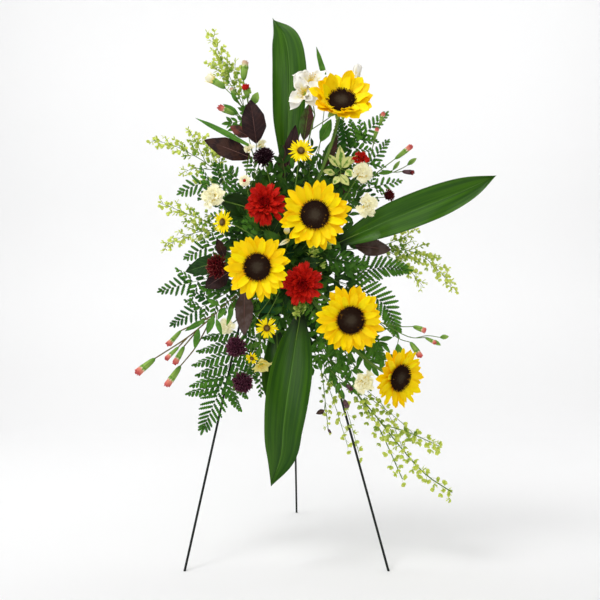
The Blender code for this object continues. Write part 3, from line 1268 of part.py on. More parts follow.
def build_bud_sprays():
    low = Spray("buds_low_left", ("left", 0.098, 0.64),
                [(-0.12, 0.08, 0.632), (-0.16, 0.055, 0.605), (-0.205, 0.036, 0.562)], 0.0015, BUD_CORAL)
    low.bud([(-0.205, 0.036, 0.562), (-0.255, 0.022, 0.52), (-0.312, 0.006, 0.486)],
            (-0.366, -0.004, 0.44), 0.0095)
    low.bud([(-0.23, 0.03, 0.542), (-0.262, 0.02, 0.5)], (-0.282, 0.012, 0.462), 0.008)
    low.bud([(-0.255, 0.022, 0.52), (-0.272, 0.006, 0.5)], (-0.298, -0.01, 0.474), 0.006)
    low.bud([(-0.2, 0.038, 0.566), (-0.236, 0.036, 0.5), (-0.27, 0.02, 0.456)], (-0.3, 0.01, 0.412), 0.0095)
    low.bud([(-0.195, 0.04, 0.57), (-0.272, 0.042, 0.535)], (-0.302, 0.038, 0.502), 0.007)
    low.leaf([(-0.18, 0.046, 0.585), (-0.184, 0.046, 0.592)], (-0.215, 0.05, 0.608), 0.01)
    low.leaf([(-0.172, 0.05, 0.594), (-0.175, 0.046, 0.586)], (-0.19, 0.036, 0.548), 0.01)
    low.finish()

    upper = Spray("buds_upper_left", ("top", -0.055, 0.102),
                  [(-0.066, 0.098, 0.86), (-0.085, 0.088, 0.94), (-0.116, 0.072, 1.03)], 0.0015, BUD_CORAL)
    upper.bud([(-0.116, 0.072, 1.03), (-0.122, 0.07, 1.075), (-0.127, 0.067, 1.106)],
              (-0.13, 0.062, 1.148), 0.0105)
    upper.bud([(-0.119, 0.071, 1.055), (-0.12, 0.06, 1.072)], (-0.126, 0.046, 1.098), 0.0085)
    upper.bud([(-0.112, 0.074, 1.022), (-0.16, 0.072, 1.07), (-0.188, 0.072, 1.093)],
              (-0.212, 0.07, 1.128), 0.012)
    upper.bud([(-0.108, 0.076, 1.01), (-0.135, 0.062, 1.026), (-0.15, 0.056, 1.032)],
              (-0.184, 0.04, 1.034), 0.0085)
    upper.leaf([(-0.145, 0.072, 1.057), (-0.148, 0.07, 1.064)], (-0.158, 0.064, 1.106), 0.014)
    upper.leaf([(-0.114, 0.073, 1.026), (-0.11, 0.07, 1.044)], (-0.096, 0.062, 1.096), 0.018)
    upper.leaf([(-0.135, 0.062, 1.026), (-0.142, 0.066, 1.034)], (-0.178, 0.064, 1.058), 0.014)
    upper.finish()

    right = Spray("buds_upper_right", ("right", 0.1, 0.768),
                  [(0.075, 0.09, 0.8), (0.11, 0.076, 0.84), (0.15, 0.062, 0.876)], 0.0015, BUD_CORAL)
    right.bud([(0.15, 0.062, 0.876), (0.185, 0.052, 0.904), (0.218, 0.044, 0.928)],
              (0.254, 0.038, 0.956), 0.0075)
    right.bud([(0.185, 0.052, 0.904), (0.215, 0.048, 0.898), (0.234, 0.044, 0.899)],
              (0.26, 0.04, 0.896), 0.007)
    right.bud([(0.146, 0.064, 0.872), (0.164, 0.06, 0.94), (0.171, 0.058, 0.976)],
              (0.178, 0.05, 1.0), 0.006)
    right.bud([(0.168, 0.059, 0.96), (0.184, 0.06, 1.008)], (0.192, 0.054, 1.036), 0.006)
    right.leaf([(0.198, 0.049, 0.913), (0.206, 0.05, 0.914)], (0.264, 0.05, 0.922), 0.016)
    right.bloom(carnation_end, (0.138, 0.03, 0.927), (0.2, -0.8, 0.5),
                [(0.138, 0.067, 0.865), (0.143, 0.054, 0.895)], 0.014, 0.034, 10, 121)
    right.finish()

    side = Spray("buds_right", ("right", 0.102, 0.625),
                 [(0.08, 0.08, 0.6), (0.13, 0.055, 0.575), (0.19, 0.036, 0.552)], 0.0015, STEM_GREEN)
    side.bud([(0.19, 0.036, 0.552), (0.225, 0.028, 0.545), (0.256, 0.022, 0.545)],
             (0.29, 0.016, 0.548), 0.01)
    side.bud([(0.184, 0.038, 0.554), (0.245, 0.026, 0.522), (0.283, 0.021, 0.52)],
             (0.306, 0.016, 0.508), 0.008)
    side.leaf([(0.262, 0.024, 0.521), (0.27, 0.032, 0.526)], (0.336, 0.032, 0.526), 0.014)
    side.leaf([(0.178, 0.04, 0.557), (0.22, 0.022, 0.512), (0.25, 0.012, 0.498)],
              (0.268, 0.004, 0.47), 0.018)
    side.leaf([(0.22, 0.022, 0.512), (0.22, 0.016, 0.506)], (0.224, 0.004, 0.474), 0.016)
    side.finish()


# White alstroemeria

def trumpet_end(frame, length, width, seed):
    """Funnel of two rings of three petals."""
    profile = ((0.0034, -0.01), (0.0042, -0.005), (0.0046, 0.0))
    rows = ((0, length, width * 0.95, 1.05, -0.8, ((0.35, 0.7), (0.72, 1.0)), 1.0),
            (1, length, width, 0.98, -0.75, ((0.35, 0.7), (0.72, 1.0)), 1.0))
    return head_end(frame, profile, 6, rows, seed, 0.002)


def build_lilies():
    lily = Spray("alstroemeria", ("top", -0.01, 0.124),
                 [(0.004, 0.114, 0.9), (0.022, 0.08, 0.985), (0.034, 0.05, 1.03)], 0.0018, WHITE)
    lily.bloom(trumpet_end, (0.02, 0.014, 1.08), (0.1, -0.95, 0.25),
               [(0.034, 0.05, 1.03), (0.028, 0.042, 1.056)], 0.018, 0.046, 0.024, 131)
    lily.bloom(trumpet_end, (0.112, 0.052, 1.085), (0.2, -0.3, 0.9),
               [(0.027, 0.072, 1.0), (0.075, 0.068, 1.034)], 0.018, 0.044, 0.022, 132)
    lily.finish()


def centre_over_origin():
    """One empty carries all parts, so that their box stands centred over the origin."""
    bpy.context.view_layer.update()
    low = Vector((math.inf,) * 3)
    high = Vector((-math.inf,) * 3)
    for item in ARRANGEMENT.objects:
        for vertex in item.data.vertices:
            place = item.matrix_world @ vertex.co
            low = Vector(map(min, low, place))
            high = Vector(map(max, high, place))
    root = bpy.data.objects.new("arrangement", None)
    ARRANGEMENT.objects.link(root)
    root.location = (-(low.x + high.x) / 2, -(low.y + high.y) / 2, 0.0)
    for item in list(ARRANGEMENT.objects):
        if item is not root:
            item.parent = root


build_easel()
build_back_leg()
build_tray()
build_strap_leaves()
build_sunflowers()
build_mums()
build_carnations()
build_dark_heads()
build_daisies()
build_leaf_sprays()
build_ferns()
build_goldenrod()
build_bells()
build_bud_sprays()
build_lilies()
build_foam()
centre_over_origin()
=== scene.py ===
"""Looks of the standing funeral spray: fine petals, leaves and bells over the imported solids.

Metres, +Z up. The viewer stands at -Y, so X is to the right and +Y is away from the viewer.
Places are written in the stand's own frame, whose front feet are on the line y = 0, and HOME
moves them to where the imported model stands. Where each plant is placed, its places and sizes are
written in millimetres, and metres() turns them into metres.
"""

import math
import random

import bpy
import numpy as np
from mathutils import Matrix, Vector


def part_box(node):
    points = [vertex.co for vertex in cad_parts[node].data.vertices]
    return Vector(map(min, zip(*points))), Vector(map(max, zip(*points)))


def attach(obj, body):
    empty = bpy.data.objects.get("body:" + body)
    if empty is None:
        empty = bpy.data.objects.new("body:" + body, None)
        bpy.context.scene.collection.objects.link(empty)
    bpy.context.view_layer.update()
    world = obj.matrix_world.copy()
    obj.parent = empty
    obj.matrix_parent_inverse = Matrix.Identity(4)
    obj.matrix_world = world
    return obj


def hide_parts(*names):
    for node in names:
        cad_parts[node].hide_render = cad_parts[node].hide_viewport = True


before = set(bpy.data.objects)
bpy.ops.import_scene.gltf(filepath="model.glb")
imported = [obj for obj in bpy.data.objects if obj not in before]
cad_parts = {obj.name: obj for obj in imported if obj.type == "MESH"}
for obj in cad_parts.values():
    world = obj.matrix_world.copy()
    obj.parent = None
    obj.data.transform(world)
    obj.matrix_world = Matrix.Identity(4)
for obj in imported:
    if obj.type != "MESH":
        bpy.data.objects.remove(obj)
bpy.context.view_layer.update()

# Easel: wire radius, feet, the point where the lines of the front legs would cross, bars, and the
# eye that the back leg winds round the hinge bar
EASEL_WIRE = 0.00275
LEFT_FOOT = (-0.2575, 0.0, 0.0)
RIGHT_FOOT = (0.1976, 0.0, 0.0)
BACK_FOOT = (-0.0097, 0.495, 0.0)
LEG_CROSSING = (-0.061, 0.25, 0.9585)
LEG_TOP = 0.90
HINGE_HEIGHT = 0.74
HINGE_X = -0.020
LOWER_BAR_HEIGHT = 0.60
BAR_OVERHANG = 0.006
EYE_TURN = math.radians(300)
EYE_PITCH = 0.004
EYE_STEPS = 16

# Foam block, in which the stems stand
FOAM_LOW = Vector((-0.090, 0.055, 0.575))
FOAM_HIGH = Vector((0.030, 0.135, 0.805))
HOLE_DEPTH = 0.030
GAP = 0.0003
FOAM_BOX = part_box("foam")
HOME = (Vector(FOAM_BOX[0]) + Vector(FOAM_BOX[1])) / 2 - (FOAM_LOW + FOAM_HIGH) / 2

# Sunflower disc and the plate that its petals grow from
DISC_RADIUS = 0.0295
DISC_LIFT = 0.0030
PLATE_RADIUS = 0.022
PLATE_TOP = 0.0022
PLATE_BOTTOM = -0.0018

# Camera, level, in front of the front feet
PHOTO_SIDE = 600
FOCAL_PIXELS = 806
CAMERA_HEIGHT = 0.605
CAMERA_DISTANCE = 1.8

FLOOR_DROP = 0.0003
TOWARD_VIEWER = np.array((0.0, -1.0, 0.0))
GOLDEN_ANGLE = math.pi * (3.0 - math.sqrt(5.0))


# Shader maths

class Shade:
    """Socket of a shader node, on which Python sums add the nodes that work them out."""

    def __init__(self, nodes, socket):
        self.nodes = nodes
        self.socket = socket

    def node(self, kind, settings, sockets, output=0):
        """Node of a kind: its settings first, then the values or links of its sockets, or None."""
        made = self.nodes.new(kind)
        for name, value in (settings or {}).items():
            setattr(made, name, value)
        for name, value in (sockets or {}).items():
            self.feed(made.inputs[name], value)
        return Shade(self.nodes, made.outputs[output])

    def feed(self, socket, value):
        if isinstance(value, Shade):
            self.nodes.id_data.links.new(value.socket, socket)
        else:
            socket.default_value = value

    def sum(self, operation, *values):
        wide = any(isinstance(value, Shade) and value.socket.type != "VALUE" for value in values)
        if wide:
            values = [(value,) * 3 if isinstance(value, (int, float)) else value for value in values]
        kind = "ShaderNodeVectorMath" if wide else "ShaderNodeMath"
        return self.node(kind, {"operation": operation}, dict(enumerate(values)))

    def __add__(self, other):
        return self.sum("ADD", self, other)

    def __radd__(self, other):
        return self.sum("ADD", other, self)

    def __sub__(self, other):
        return self.sum("SUBTRACT", self, other)

    def __rsub__(self, other):
        return self.sum("SUBTRACT", other, self)

    def __mul__(self, other):
        return self.sum("MULTIPLY", self, other)

    def __rmul__(self, other):
        return self.sum("MULTIPLY", other, self)

    def __abs__(self):
        return self.sum("ABSOLUTE", self)

    def sine(self):
        return self.sum("SINE", self)

    def part(self, number):
        return self.node("ShaderNodeSeparateXYZ", None, {0: self}, number)

    def together(self, x, y, z):
        return self.node("ShaderNodeCombineXYZ", None, {0: x, 1: y, 2: z})

    def ease(self, low, high):
        """0 below low, 1 above high, smooth between."""
        sockets = {"Value": self, "From Min": low, "From Max": high}
        return self.node("ShaderNodeMapRange", {"interpolation_type": "SMOOTHSTEP"}, sockets)

    def mix(self, none, full):
        """Colour between two, by this share."""
        return self.node("ShaderNodeMix", {"data_type": "RGBA"}, {0: self, 6: none, 7: full}, 2)

    def noise(self, scale, detail=2.0):
        sockets = {"Vector": self, "Scale": scale, "Detail": detail}
        return self.node("ShaderNodeTexNoise", None, sockets)

    def cells(self, scale):
        """Distance to the nearest of scattered points."""
        return self.node("ShaderNodeTexVoronoi", None, {"Vector": self, "Scale": scale}, "Distance")

    def bump(self, depth, strength):
        """Normal of a surface raised by this height times depth, in metres."""
        sockets = {"Height": self, "Distance": depth, "Strength": strength}
        return self.node("ShaderNodeBump", None, sockets)


def tint(red, green, blue):
    """Colour as it shows on a screen, 0 to 255, as light."""
    shares = (value / 255 for value in (red, green, blue))
    return (*(s / 12.92 if s <= 0.04045 else ((s + 0.055) / 1.055) ** 2.4 for s in shares), 1.0)


# Reflection of petals and leaves, lower than that of the paint and the plastic
SOFT_GLOSS = 0.12
STRAP_GLOSS = 0.20
WIRE_GLOSS = 0.28
HARD_GLOSS = 0.5
# Painted glow: emission in a petal's own colour that stands in for the light that comes through thin petals
# from behind
THIN_GLOW = 0.05
PALE_GLOW = 0.07
# Materials by name
PAINTS = {}


def surface(describe):
    """Material with the describing function's name. The function gets the mark and the place."""
    made = bpy.data.materials.new(describe.__name__)
    made.use_nodes = True
    nodes = made.node_tree.nodes
    start = Shade(nodes, None)
    mark = start.node("ShaderNodeAttribute", {"attribute_name": "mark"}, None, "Vector")
    place = start.node("ShaderNodeTexCoord", None, None, "Object")
    for name, value in describe(mark, place).items():
        start.feed(nodes["Principled BSDF"].inputs[name], value)
    PAINTS[describe.__name__] = made
    return describe


def finished(colour, grain, rough, vary=0.2, depth=0.0004, strength=0.6, relief=None, glow=0.0,
             gloss=SOFT_GLOSS):
    """Sockets of a finish: its colour, and a grain that varies the roughness and raises the surface.

    rough is the lowest roughness and vary what the grain adds to it. relief is raised in place of
    the grain, where given. glow is a painted glow, an emission in the colour that stands in for the
    light that comes through from behind.
    """
    sockets = {"Base Color": colour, "Roughness": grain * vary + rough, "Specular IOR Level": gloss}
    if depth:
        sockets["Normal"] = (relief or grain).bump(depth, strength)
    # Painted glow: emission in the surface's own colour, where glow is given
    if glow:
        sockets["Emission Color"] = colour
        sockets["Emission Strength"] = glow
    return sockets


# Petals

def streaks(mark, lines, stretch=1.5):
    """Fine lines that run from the foot of a petal to its tip, different on every petal."""
    spot = mark.together(mark.part(0) * stretch, mark.part(1) * lines, mark.part(2) * 37.0)
    return spot.noise(1.0, 3.0)


@surface
def sunflower_petal(mark, place):
    along, chance = mark.part(0), mark.part(2)
    lines = streaks(mark, 16.0)
    colour = chance.mix(tint(255, 213, 0), tint(255, 236, 0))
    colour = (lines.ease(0.35, 0.75) * 0.3).mix(colour, tint(248, 180, 0))
    # Deeper orange toward the foot: partly the petal's own colour, partly painted shade where the petals
    # overlap at their feet
    colour = (1 - along.ease(0.04, 0.42)).mix(colour, tint(238, 136, 0))
    return finished(colour, lines, 0.42, depth=0.0006, strength=0.7, glow=THIN_GLOW)


@surface
def disc_floret(mark, place):
    """Dark florets, paler toward the middle of the disc, with a few specks of pollen at the rim."""
    height, reach, chance = mark.part(0), mark.part(1), mark.part(2)
    outer = (reach + place.noise(200.0) * 0.5).ease(0.35, 0.85)
    colour = outer.mix(tint(80, 72, 58), tint(34, 16, 8))
    colour = (height * 0.25).mix(colour, tint(78, 50, 28))
    gold = (chance.ease(0.92, 0.96) * reach.ease(0.62, 0.8)) * height
    colour = gold.mix(colour, tint(226, 160, 30))
    return finished(colour, place.noise(900.0), 0.55, 0.3, depth=0)


@surface
def red_petal(mark, place):
    along, chance = mark.part(0), mark.part(2)
    lines = streaks(mark, 12.0)
    colour = chance.mix(tint(196, 22, 14), tint(226, 40, 24))
    colour = (lines.ease(0.4, 0.8) * 0.4).mix(colour, tint(164, 12, 12))
    # Dark red toward the foot of each petal: painted shade where the petals crowd into the head
    colour = (1 - along.ease(0.08, 0.72)).mix(colour, tint(86, 2, 6))
    return finished(colour, lines, 0.40, depth=0.0005)


@surface
def crimson_petal(mark, place):
    lines = streaks(mark, 9.0)
    # Dark toward the foot, brighter toward the tip: painted shade deep in the head
    colour = mark.part(0).ease(0.2, 1.0).mix(tint(104, 4, 10), tint(196, 22, 22))
    colour = (lines.ease(0.4, 0.8) * 0.4).mix(colour, tint(128, 6, 14))
    return finished(colour, lines, 0.42)


@surface
def cream_petal(mark, place):
    lines = streaks(mark, 22.0)
    heart = tint(236, 212, 84)
    # Yellow toward the heart: partly the petal's own colour, partly painted shade in the folds of the frill
    colour = (1 - mark.part(0).ease(0.10, 0.75)).mix(tint(255, 252, 222), heart)
    colour = (lines.ease(0.45, 0.8) * 0.15).mix(colour, heart)
    return finished(colour, lines, 0.55, 0.15, glow=PALE_GLOW)


@surface
def daisy_petal(mark, place):
    lines = streaks(mark, 12.0)
    colour = mark.part(2).mix(tint(255, 224, 0), tint(255, 238, 18))
    colour = (1 - mark.part(0).ease(0.02, 0.4)).mix(colour, tint(240, 194, 0))
    colour = (lines.ease(0.4, 0.8) * 0.3).mix(colour, tint(240, 200, 0))
    return finished(colour, lines, 0.45, glow=THIN_GLOW)


@surface
def lemon_petal(mark, place):
    lines = streaks(mark, 12.0)
    colour = (1 - mark.part(0).ease(0.1, 0.7)).mix(tint(250, 240, 150), tint(244, 222, 60))
    colour = (lines.ease(0.4, 0.8) * 0.3).mix(colour, tint(236, 214, 80))
    return finished(colour, lines, 0.45, glow=THIN_GLOW)


@surface
def daisy_eye(mark, place):
    colour = mark.part(1).ease(0.2, 0.95).mix(tint(150, 128, 84), tint(92, 64, 24))
    colour = (mark.part(2).ease(0.6, 1.0) * 0.6).mix(colour, tint(196, 158, 60))
    return finished(colour, place.noise(1100.0), 0.60, 0.3, depth=0)


def dense_head(mark, low, high, tip):
    """Look of a dense head: painted shade dark between its florets, toward their feet, and paler where a
    few florets end.
    """
    along, chance = mark.part(0), mark.part(2)
    # Dark at the florets' feet: painted shade between them
    colour = along.ease(0.1, 0.9).mix(low, high)
    colour = (chance.ease(0.55, 0.8) * along.ease(0.72, 1.0)).mix(colour, tip)
    lines = streaks(mark, 8.0)
    return finished(colour, lines, 0.50, depth=0.0003, strength=0.5)


@surface
def black_floret(mark, place):
    return dense_head(mark, tint(18, 8, 14), tint(46, 20, 30), tint(120, 96, 104))


@surface
def plum_floret(mark, place):
    return dense_head(mark, tint(40, 14, 26), tint(98, 46, 66), tint(140, 92, 108))


@surface
def oxblood_floret(mark, place):
    return dense_head(mark, tint(52, 6, 12), tint(110, 18, 26), tint(170, 96, 84))


@surface
def white_petal(mark, place):
    along, across = mark.part(0), mark.part(1)
    lines = streaks(mark, 14.0)
    colour = (1 - along.ease(0.1, 0.45)).mix(tint(250, 248, 240), tint(250, 222, 84))
    middle = 1 - abs(across - 0.5).ease(0.02, 0.22)
    colour = (middle * (1 - along.ease(0.3, 0.8)) * 0.6).mix(colour, tint(236, 226, 120))
    return finished(colour, lines, 0.42, 0.15, depth=0.0005)


@surface
def pollen(mark, place):
    colour = place.noise(600.0).mix(tint(214, 176, 70), tint(244, 218, 110))
    return finished(colour, place.noise(1200.0), 0.60, 0.3, depth=0)


# Buds

@surface
def coral_petal(mark, place):
    """Folded petals of a bud: cream at the mouth of the calyx, coral at the tip."""
    along = mark.part(0)
    lines = streaks(mark, 10.0)
    colour = along.ease(0.15, 0.5).mix(tint(250, 238, 214), tint(226, 130, 110))
    colour = along.ease(0.55, 0.95).mix(colour, tint(206, 84, 86))
    colour = (lines.ease(0.4, 0.8) * 0.3).mix(colour, tint(240, 170, 140))
    return finished(colour, lines, 0.42, 0.15)


@surface
def pale_bud(mark, place):
    lines = streaks(mark, 10.0)
    colour = mark.part(0).ease(0.2, 0.9).mix(tint(222, 226, 168), tint(214, 178, 150))
    colour = (lines.ease(0.4, 0.8) * 0.3).mix(colour, tint(176, 190, 110))
    return finished(colour, lines, 0.42, 0.15)


@surface
def calyx(mark, place):
    lines = streaks(mark, 9.0, 1.0)
    colour = mark.part(0).ease(0.0, 0.8).mix(tint(92, 142, 48), tint(148, 182, 84))
    colour = (lines.ease(0.4, 0.75) * 0.5).mix(colour, tint(70, 112, 34))
    return finished(colour, lines, 0.36)


# Leaves and stems

def side_veins(mark, pairs, slant):
    """Narrow lines that leave the midrib of a leaf in pairs, and the midrib itself."""
    off = abs(mark.part(1) - 0.5) * 2
    wave = ((mark.part(0) - off * slant) * (pairs * math.tau)).sine()
    return wave.ease(0.86, 1.0) * (1 - off.ease(0.8, 1.0)), 1 - off.ease(0.02, 0.09)


def broad_leaf(mark, place, body, edge, vein, pairs=9.0, slant=0.22):
    """Look of a leaf with side veins: body colour, mottled toward a second, with paler veins."""
    veins, rib = side_veins(mark, pairs, slant)
    patch = place.noise(55.0, 3.0)
    colour = patch.ease(0.35, 0.65).mix(body, edge)
    colour = (veins * 0.2 + rib * 0.4).mix(colour, vein)
    raised = veins * -0.5 + rib * -0.8 + patch * 0.6
    return finished(colour, patch, 0.28, 0.25, 0.0007, 0.8, raised)


@surface
def burgundy_leaf(mark, place):
    """Purple-brown leaves. The chance of the mark is the tone: dark, brown, reddish, then mauve."""
    tone = mark.part(2)
    body = tone.ease(0.1, 0.35).mix(tint(50, 30, 30), tint(68, 42, 32))
    body = tone.ease(0.4, 0.65).mix(body, tint(128, 66, 56))
    body = tone.ease(0.7, 0.95).mix(body, tint(92, 76, 72))
    edge = tone.ease(0.3, 0.8).mix(tint(36, 22, 24), tint(72, 54, 46))
    return broad_leaf(mark, place, body, edge, tint(90, 60, 56))


@surface
def bronze_leaf(mark, place):
    """Leaf that is green on one side and purple-brown on the other."""
    turned = mark.part(1) + (place.noise(60.0) - 0.5) * 0.7
    body = turned.ease(0.35, 0.62).mix(tint(70, 102, 42), tint(86, 44, 48))
    return broad_leaf(mark, place, body, tint(64, 52, 36), tint(120, 112, 70))


@surface
def pale_leaf(mark, place):
    """Variegated leaf: yellow-green with greener stretches along the midrib."""
    off = abs(mark.part(1) - 0.5) * 2
    ragged = off * 0.6 + (place.noise(75.0, 3.0) - 0.5) * 1.8 + 0.25
    colour = ragged.ease(0.15, 0.45).mix(tint(112, 156, 58), tint(226, 230, 148))
    lines = streaks(mark, 12.0)
    colour = (lines.ease(0.45, 0.8) * 0.3).mix(colour, tint(150, 186, 70))
    return finished(colour, lines, 0.34, depth=0.0005)


@surface
def filler_leaf(mark, place):
    tone = mark.part(2)
    body = tone.ease(0.2, 0.9).mix(tint(28, 64, 18), tint(72, 118, 34))
    edge = tone.ease(0.2, 0.9).mix(tint(20, 46, 14), tint(50, 94, 26))
    return broad_leaf(mark, place, body, edge, tint(84, 120, 48), 8.0, 0.3)


@surface
def green_leaf(mark, place):
    return broad_leaf(mark, place, tint(88, 142, 44), tint(64, 116, 34), tint(150, 188, 92), 7.0, 0.5)


@surface
def strap_green(mark, place):
    """Strap leaf: fine parallel veins, darker bands, and a paler midrib, partly its own colour and partly a
    painted highlight. The chance is the depth of green.
    """
    along, across, tone = mark.part(0), mark.part(1), mark.part(2)
    veins = mark.together(along * 1.1, across * 60.0, tone * 9.0).noise(1.0)
    bands = mark.together(along * 1.6, across * 9.0, tone * 5.0).noise(1.0, 3.0)
    colour = bands.ease(0.30, 0.70).mix(tint(38, 82, 3), tint(66, 114, 6))
    colour = (veins.ease(0.45, 0.7) * 0.4).mix(colour, tint(22, 54, 4))
    colour = (1 - along.ease(0.0, 0.2)).mix(colour, tint(16, 34, 6))
    colour = tone.mix(colour, tint(16, 34, 16))
    # Paler midrib: partly its own colour, partly a painted highlight
    rib = 1 - abs(across - 0.5).ease(0.008, 0.030)
    colour = (rib * 0.7).mix(colour, tint(78, 120, 38))
    raised = veins * 0.5 - rib
    return finished(colour, veins, 0.26, 0.16, 0.0007, 0.8, raised, gloss=STRAP_GLOSS)


def stem_look(mark, low, high, rough):
    """Look of a stem: fine lines along it in two colours."""
    lines = mark.together(mark.part(0) * 4.0, mark.part(1) * 7.0, mark.part(2) * 19.0).noise(1.0, 3.0)
    return finished(lines.ease(0.3, 0.7).mix(low, high), lines, rough, depth=0.0005, strength=0.7)


@surface
def stem(mark, place):
    return stem_look(mark, tint(72, 104, 38), tint(116, 146, 62), 0.42)


@surface
def brown_stem(mark, place):
    return stem_look(mark, tint(84, 62, 38), tint(120, 112, 58), 0.45)


@surface
def rib(mark, place):
    lines = place.noise(240.0)
    return finished(lines.mix(tint(86, 58, 56), tint(150, 112, 104)), lines, 0.40, depth=0)


@surface
def fern_green(mark, place):
    """Fern leaflets: dark at the foot, lighter at the tip, and different from feather to feather."""
    tone = mark.part(2)
    patch = place.noise(40.0)
    colour = (tone * 0.7 + patch * 0.5).ease(0.15, 0.95).mix(tint(32, 80, 18), tint(86, 140, 40))
    colour = (1 - mark.part(0).ease(0.0, 0.4)).mix(colour, tint(30, 70, 18))
    groove = 1 - abs(mark.part(1) - 0.5).ease(0.03, 0.16)
    return finished(colour, patch, 0.40, 0.25, strength=0.7, relief=-1 * groove)


@surface
def goldenrod_bract(mark, place):
    tone = mark.part(2)
    colour = tone.ease(0.10, 0.65).mix(tint(104, 148, 44), tint(204, 218, 98))
    # Paler toward the tip of each bract: a painted highlight
    colour = (mark.part(0).ease(0.5, 1.0) * 0.5).mix(colour, tint(236, 240, 146))
    patch = place.noise(500.0)
    return finished(colour, patch, 0.40, 0.3, depth=0.0003, glow=THIN_GLOW)


@surface
def mauve_bract(mark, place):
    patch = place.noise(400.0)
    colour = mark.part(0).mix(tint(62, 40, 46), tint(118, 88, 94))
    return finished(colour, patch, 0.45, 0.3, depth=0.0003)


# Stand, foam and tray

@surface
def green_wire(mark, place):
    """Painted wire: near-black green, faintly drawn along its length and dusty in places."""
    drawn = (place * (240.0, 240.0, 14.0)).noise(1.0, 3.0)
    dust = place.noise(26.0, 4.0)
    colour = dust.ease(0.45, 0.8).mix(tint(13, 20, 18), tint(34, 42, 37))
    return finished(colour, drawn, 0.30, 0.25, depth=0.0002, strength=0.5, gloss=WIRE_GLOSS)


@surface
def wet_foam(mark, place):
    pores = place.cells(900.0)
    patch = place.noise(30.0, 3.0)
    colour = patch.ease(0.3, 0.7).mix(tint(30, 74, 40), tint(48, 98, 54))
    # Darker in the pores: painted shade in the hollows
    colour = (1 - pores.ease(0.0, 0.4)).mix(colour, tint(18, 46, 26))
    return finished(colour, patch, 0.80, 0.15, 0.0008, 0.9, pores)


@surface
def tray_green(mark, place):
    grain = place.noise(700.0)
    patch = place.noise(12.0, 3.0)
    colour = patch.ease(0.3, 0.7).mix(tint(20, 46, 28), tint(28, 58, 36))
    return finished(colour, grain, 0.38, depth=0.0002, strength=0.5, gloss=HARD_GLOSS)


@surface
def studio_paper(mark, place):
    """Pale floor and backdrop, faintly mottled, painted lighter up the backdrop than on the floor."""
    mottle = place.noise(1.2)
    fibre = place.noise(420.0)
    # Painted light: the paper is lighter up the backdrop than on the floor
    wall = place.part(2).ease(0.0, 0.7)
    colour = (mottle * 0.2 + wall * 0.8).mix((0.848, 0.848, 0.850, 1.0), (0.945, 0.945, 0.947, 1.0))
    return finished(colour, fibre, 0.75, 0.1, 0.0001, 0.2)


# Curves and frames

def metres(millimetres):
    return np.asarray(millimetres, float) / 1000


def lerp(a, b, t):
    return a + (b - a) * t


def unit(way):
    way = np.asarray(way, float)
    return way / np.linalg.norm(way, axis=-1, keepdims=True)


def cubic(start, lead, trail, end, t):
    """Points of a curve that leaves its start toward lead and reaches its end from trail."""
    s = 1 - t
    return start * s ** 3 + 3 * lead * s * s * t + 3 * trail * s * t * t + end * t ** 3


def smooth(points, steps):
    """Points on a smooth curve through the given ones, steps to a span; any number of columns."""
    given = np.asarray(points, float)
    given = np.vstack([2 * given[0] - given[1], given, 2 * given[-1] - given[-2]])
    t = (np.arange(steps) / steps)[:, None]
    spans = [cubic(start, start + (end - before) / 6, end - (after - start) / 6, end, t)
             for before, start, end, after in zip(given, given[1:], given[2:], given[3:])]
    return np.vstack([*spans, given[-2]])


def measured(path):
    """Distance along a path at each of its points."""
    return np.concatenate([[0.0], np.cumsum(np.linalg.norm(np.diff(path[:, :3], axis=0), axis=1))])


def spread(path, shares):
    """Places at the given shares of a path's length."""
    along = measured(path)
    wanted = np.asarray(shares, float) * along[-1]
    return np.stack([np.interp(wanted, along, path[:, k]) for k in range(path.shape[1])], axis=-1)


def headings(path):
    return unit(np.gradient(path[:, :3], axis=0))


def headings_at(path, shares):
    """Ways along a path at the given shares of its length."""
    return unit(spread(np.column_stack([path, headings(path)]), shares)[:, 3:])


def aim(place, facing):
    """Frame at a place whose Z points along facing: its origin and its axes as columns."""
    return place, np.array(Vector(facing).to_track_quat("Z", "Y").to_matrix())


def ring_round(right, up, sides):
    """Ways out from each point of an axis, evenly all round in the plane of right and up."""
    turn = math.tau * np.arange(sides) / sides
    return right[:, None] * np.cos(turn)[None, :, None] + up[:, None] * np.sin(turn)[None, :, None]


def draws(rng, count, low, high):
    return np.array([rng.uniform(low, high) for _ in range(count)])


def strays(rng, count, most):
    """Small ways in any direction, each of their parts from -most to most."""
    return draws(rng, 3 * count, -most, most).reshape(-1, 3)


# Meshes in the making

# Faces of blades by rows and columns
SLAB_FACES = {}
SHARP_EDGE = math.radians(55)
TINY = 1e-12
# A way that no stem or stalk runs along
OFF_AXIS = np.array((0.31, 0.22, 0.93))


def slab_faces(rows, cols):
    """Quads of a closed blade: top, underside and rim."""
    if (rows, cols) not in SLAB_FACES:
        count = rows * cols
        index = np.arange(count).reshape(rows, cols)
        top = np.stack([index[:-1, :-1], index[:-1, 1:], index[1:, 1:], index[1:, :-1]], -1).reshape(-1, 4)
        rim = np.concatenate([index[0, :], index[1:, -1], index[-1, -2::-1], index[-2:0:-1, 0]])
        ahead = np.roll(rim, -1)
        edge = np.stack([ahead, rim, rim + count, ahead + count], -1)
        SLAB_FACES[rows, cols] = np.concatenate([top, top[:, ::-1] + count, edge])
    return SLAB_FACES[rows, cols]


def marks_of(shape, along, across, chance):
    """Marks of an array of points: share along, share across, and a chance from 0 to 1."""
    marks = np.zeros((*shape, 3))
    marks[..., 0] = along
    marks[..., 1] = across
    marks[..., 2] = chance
    return marks


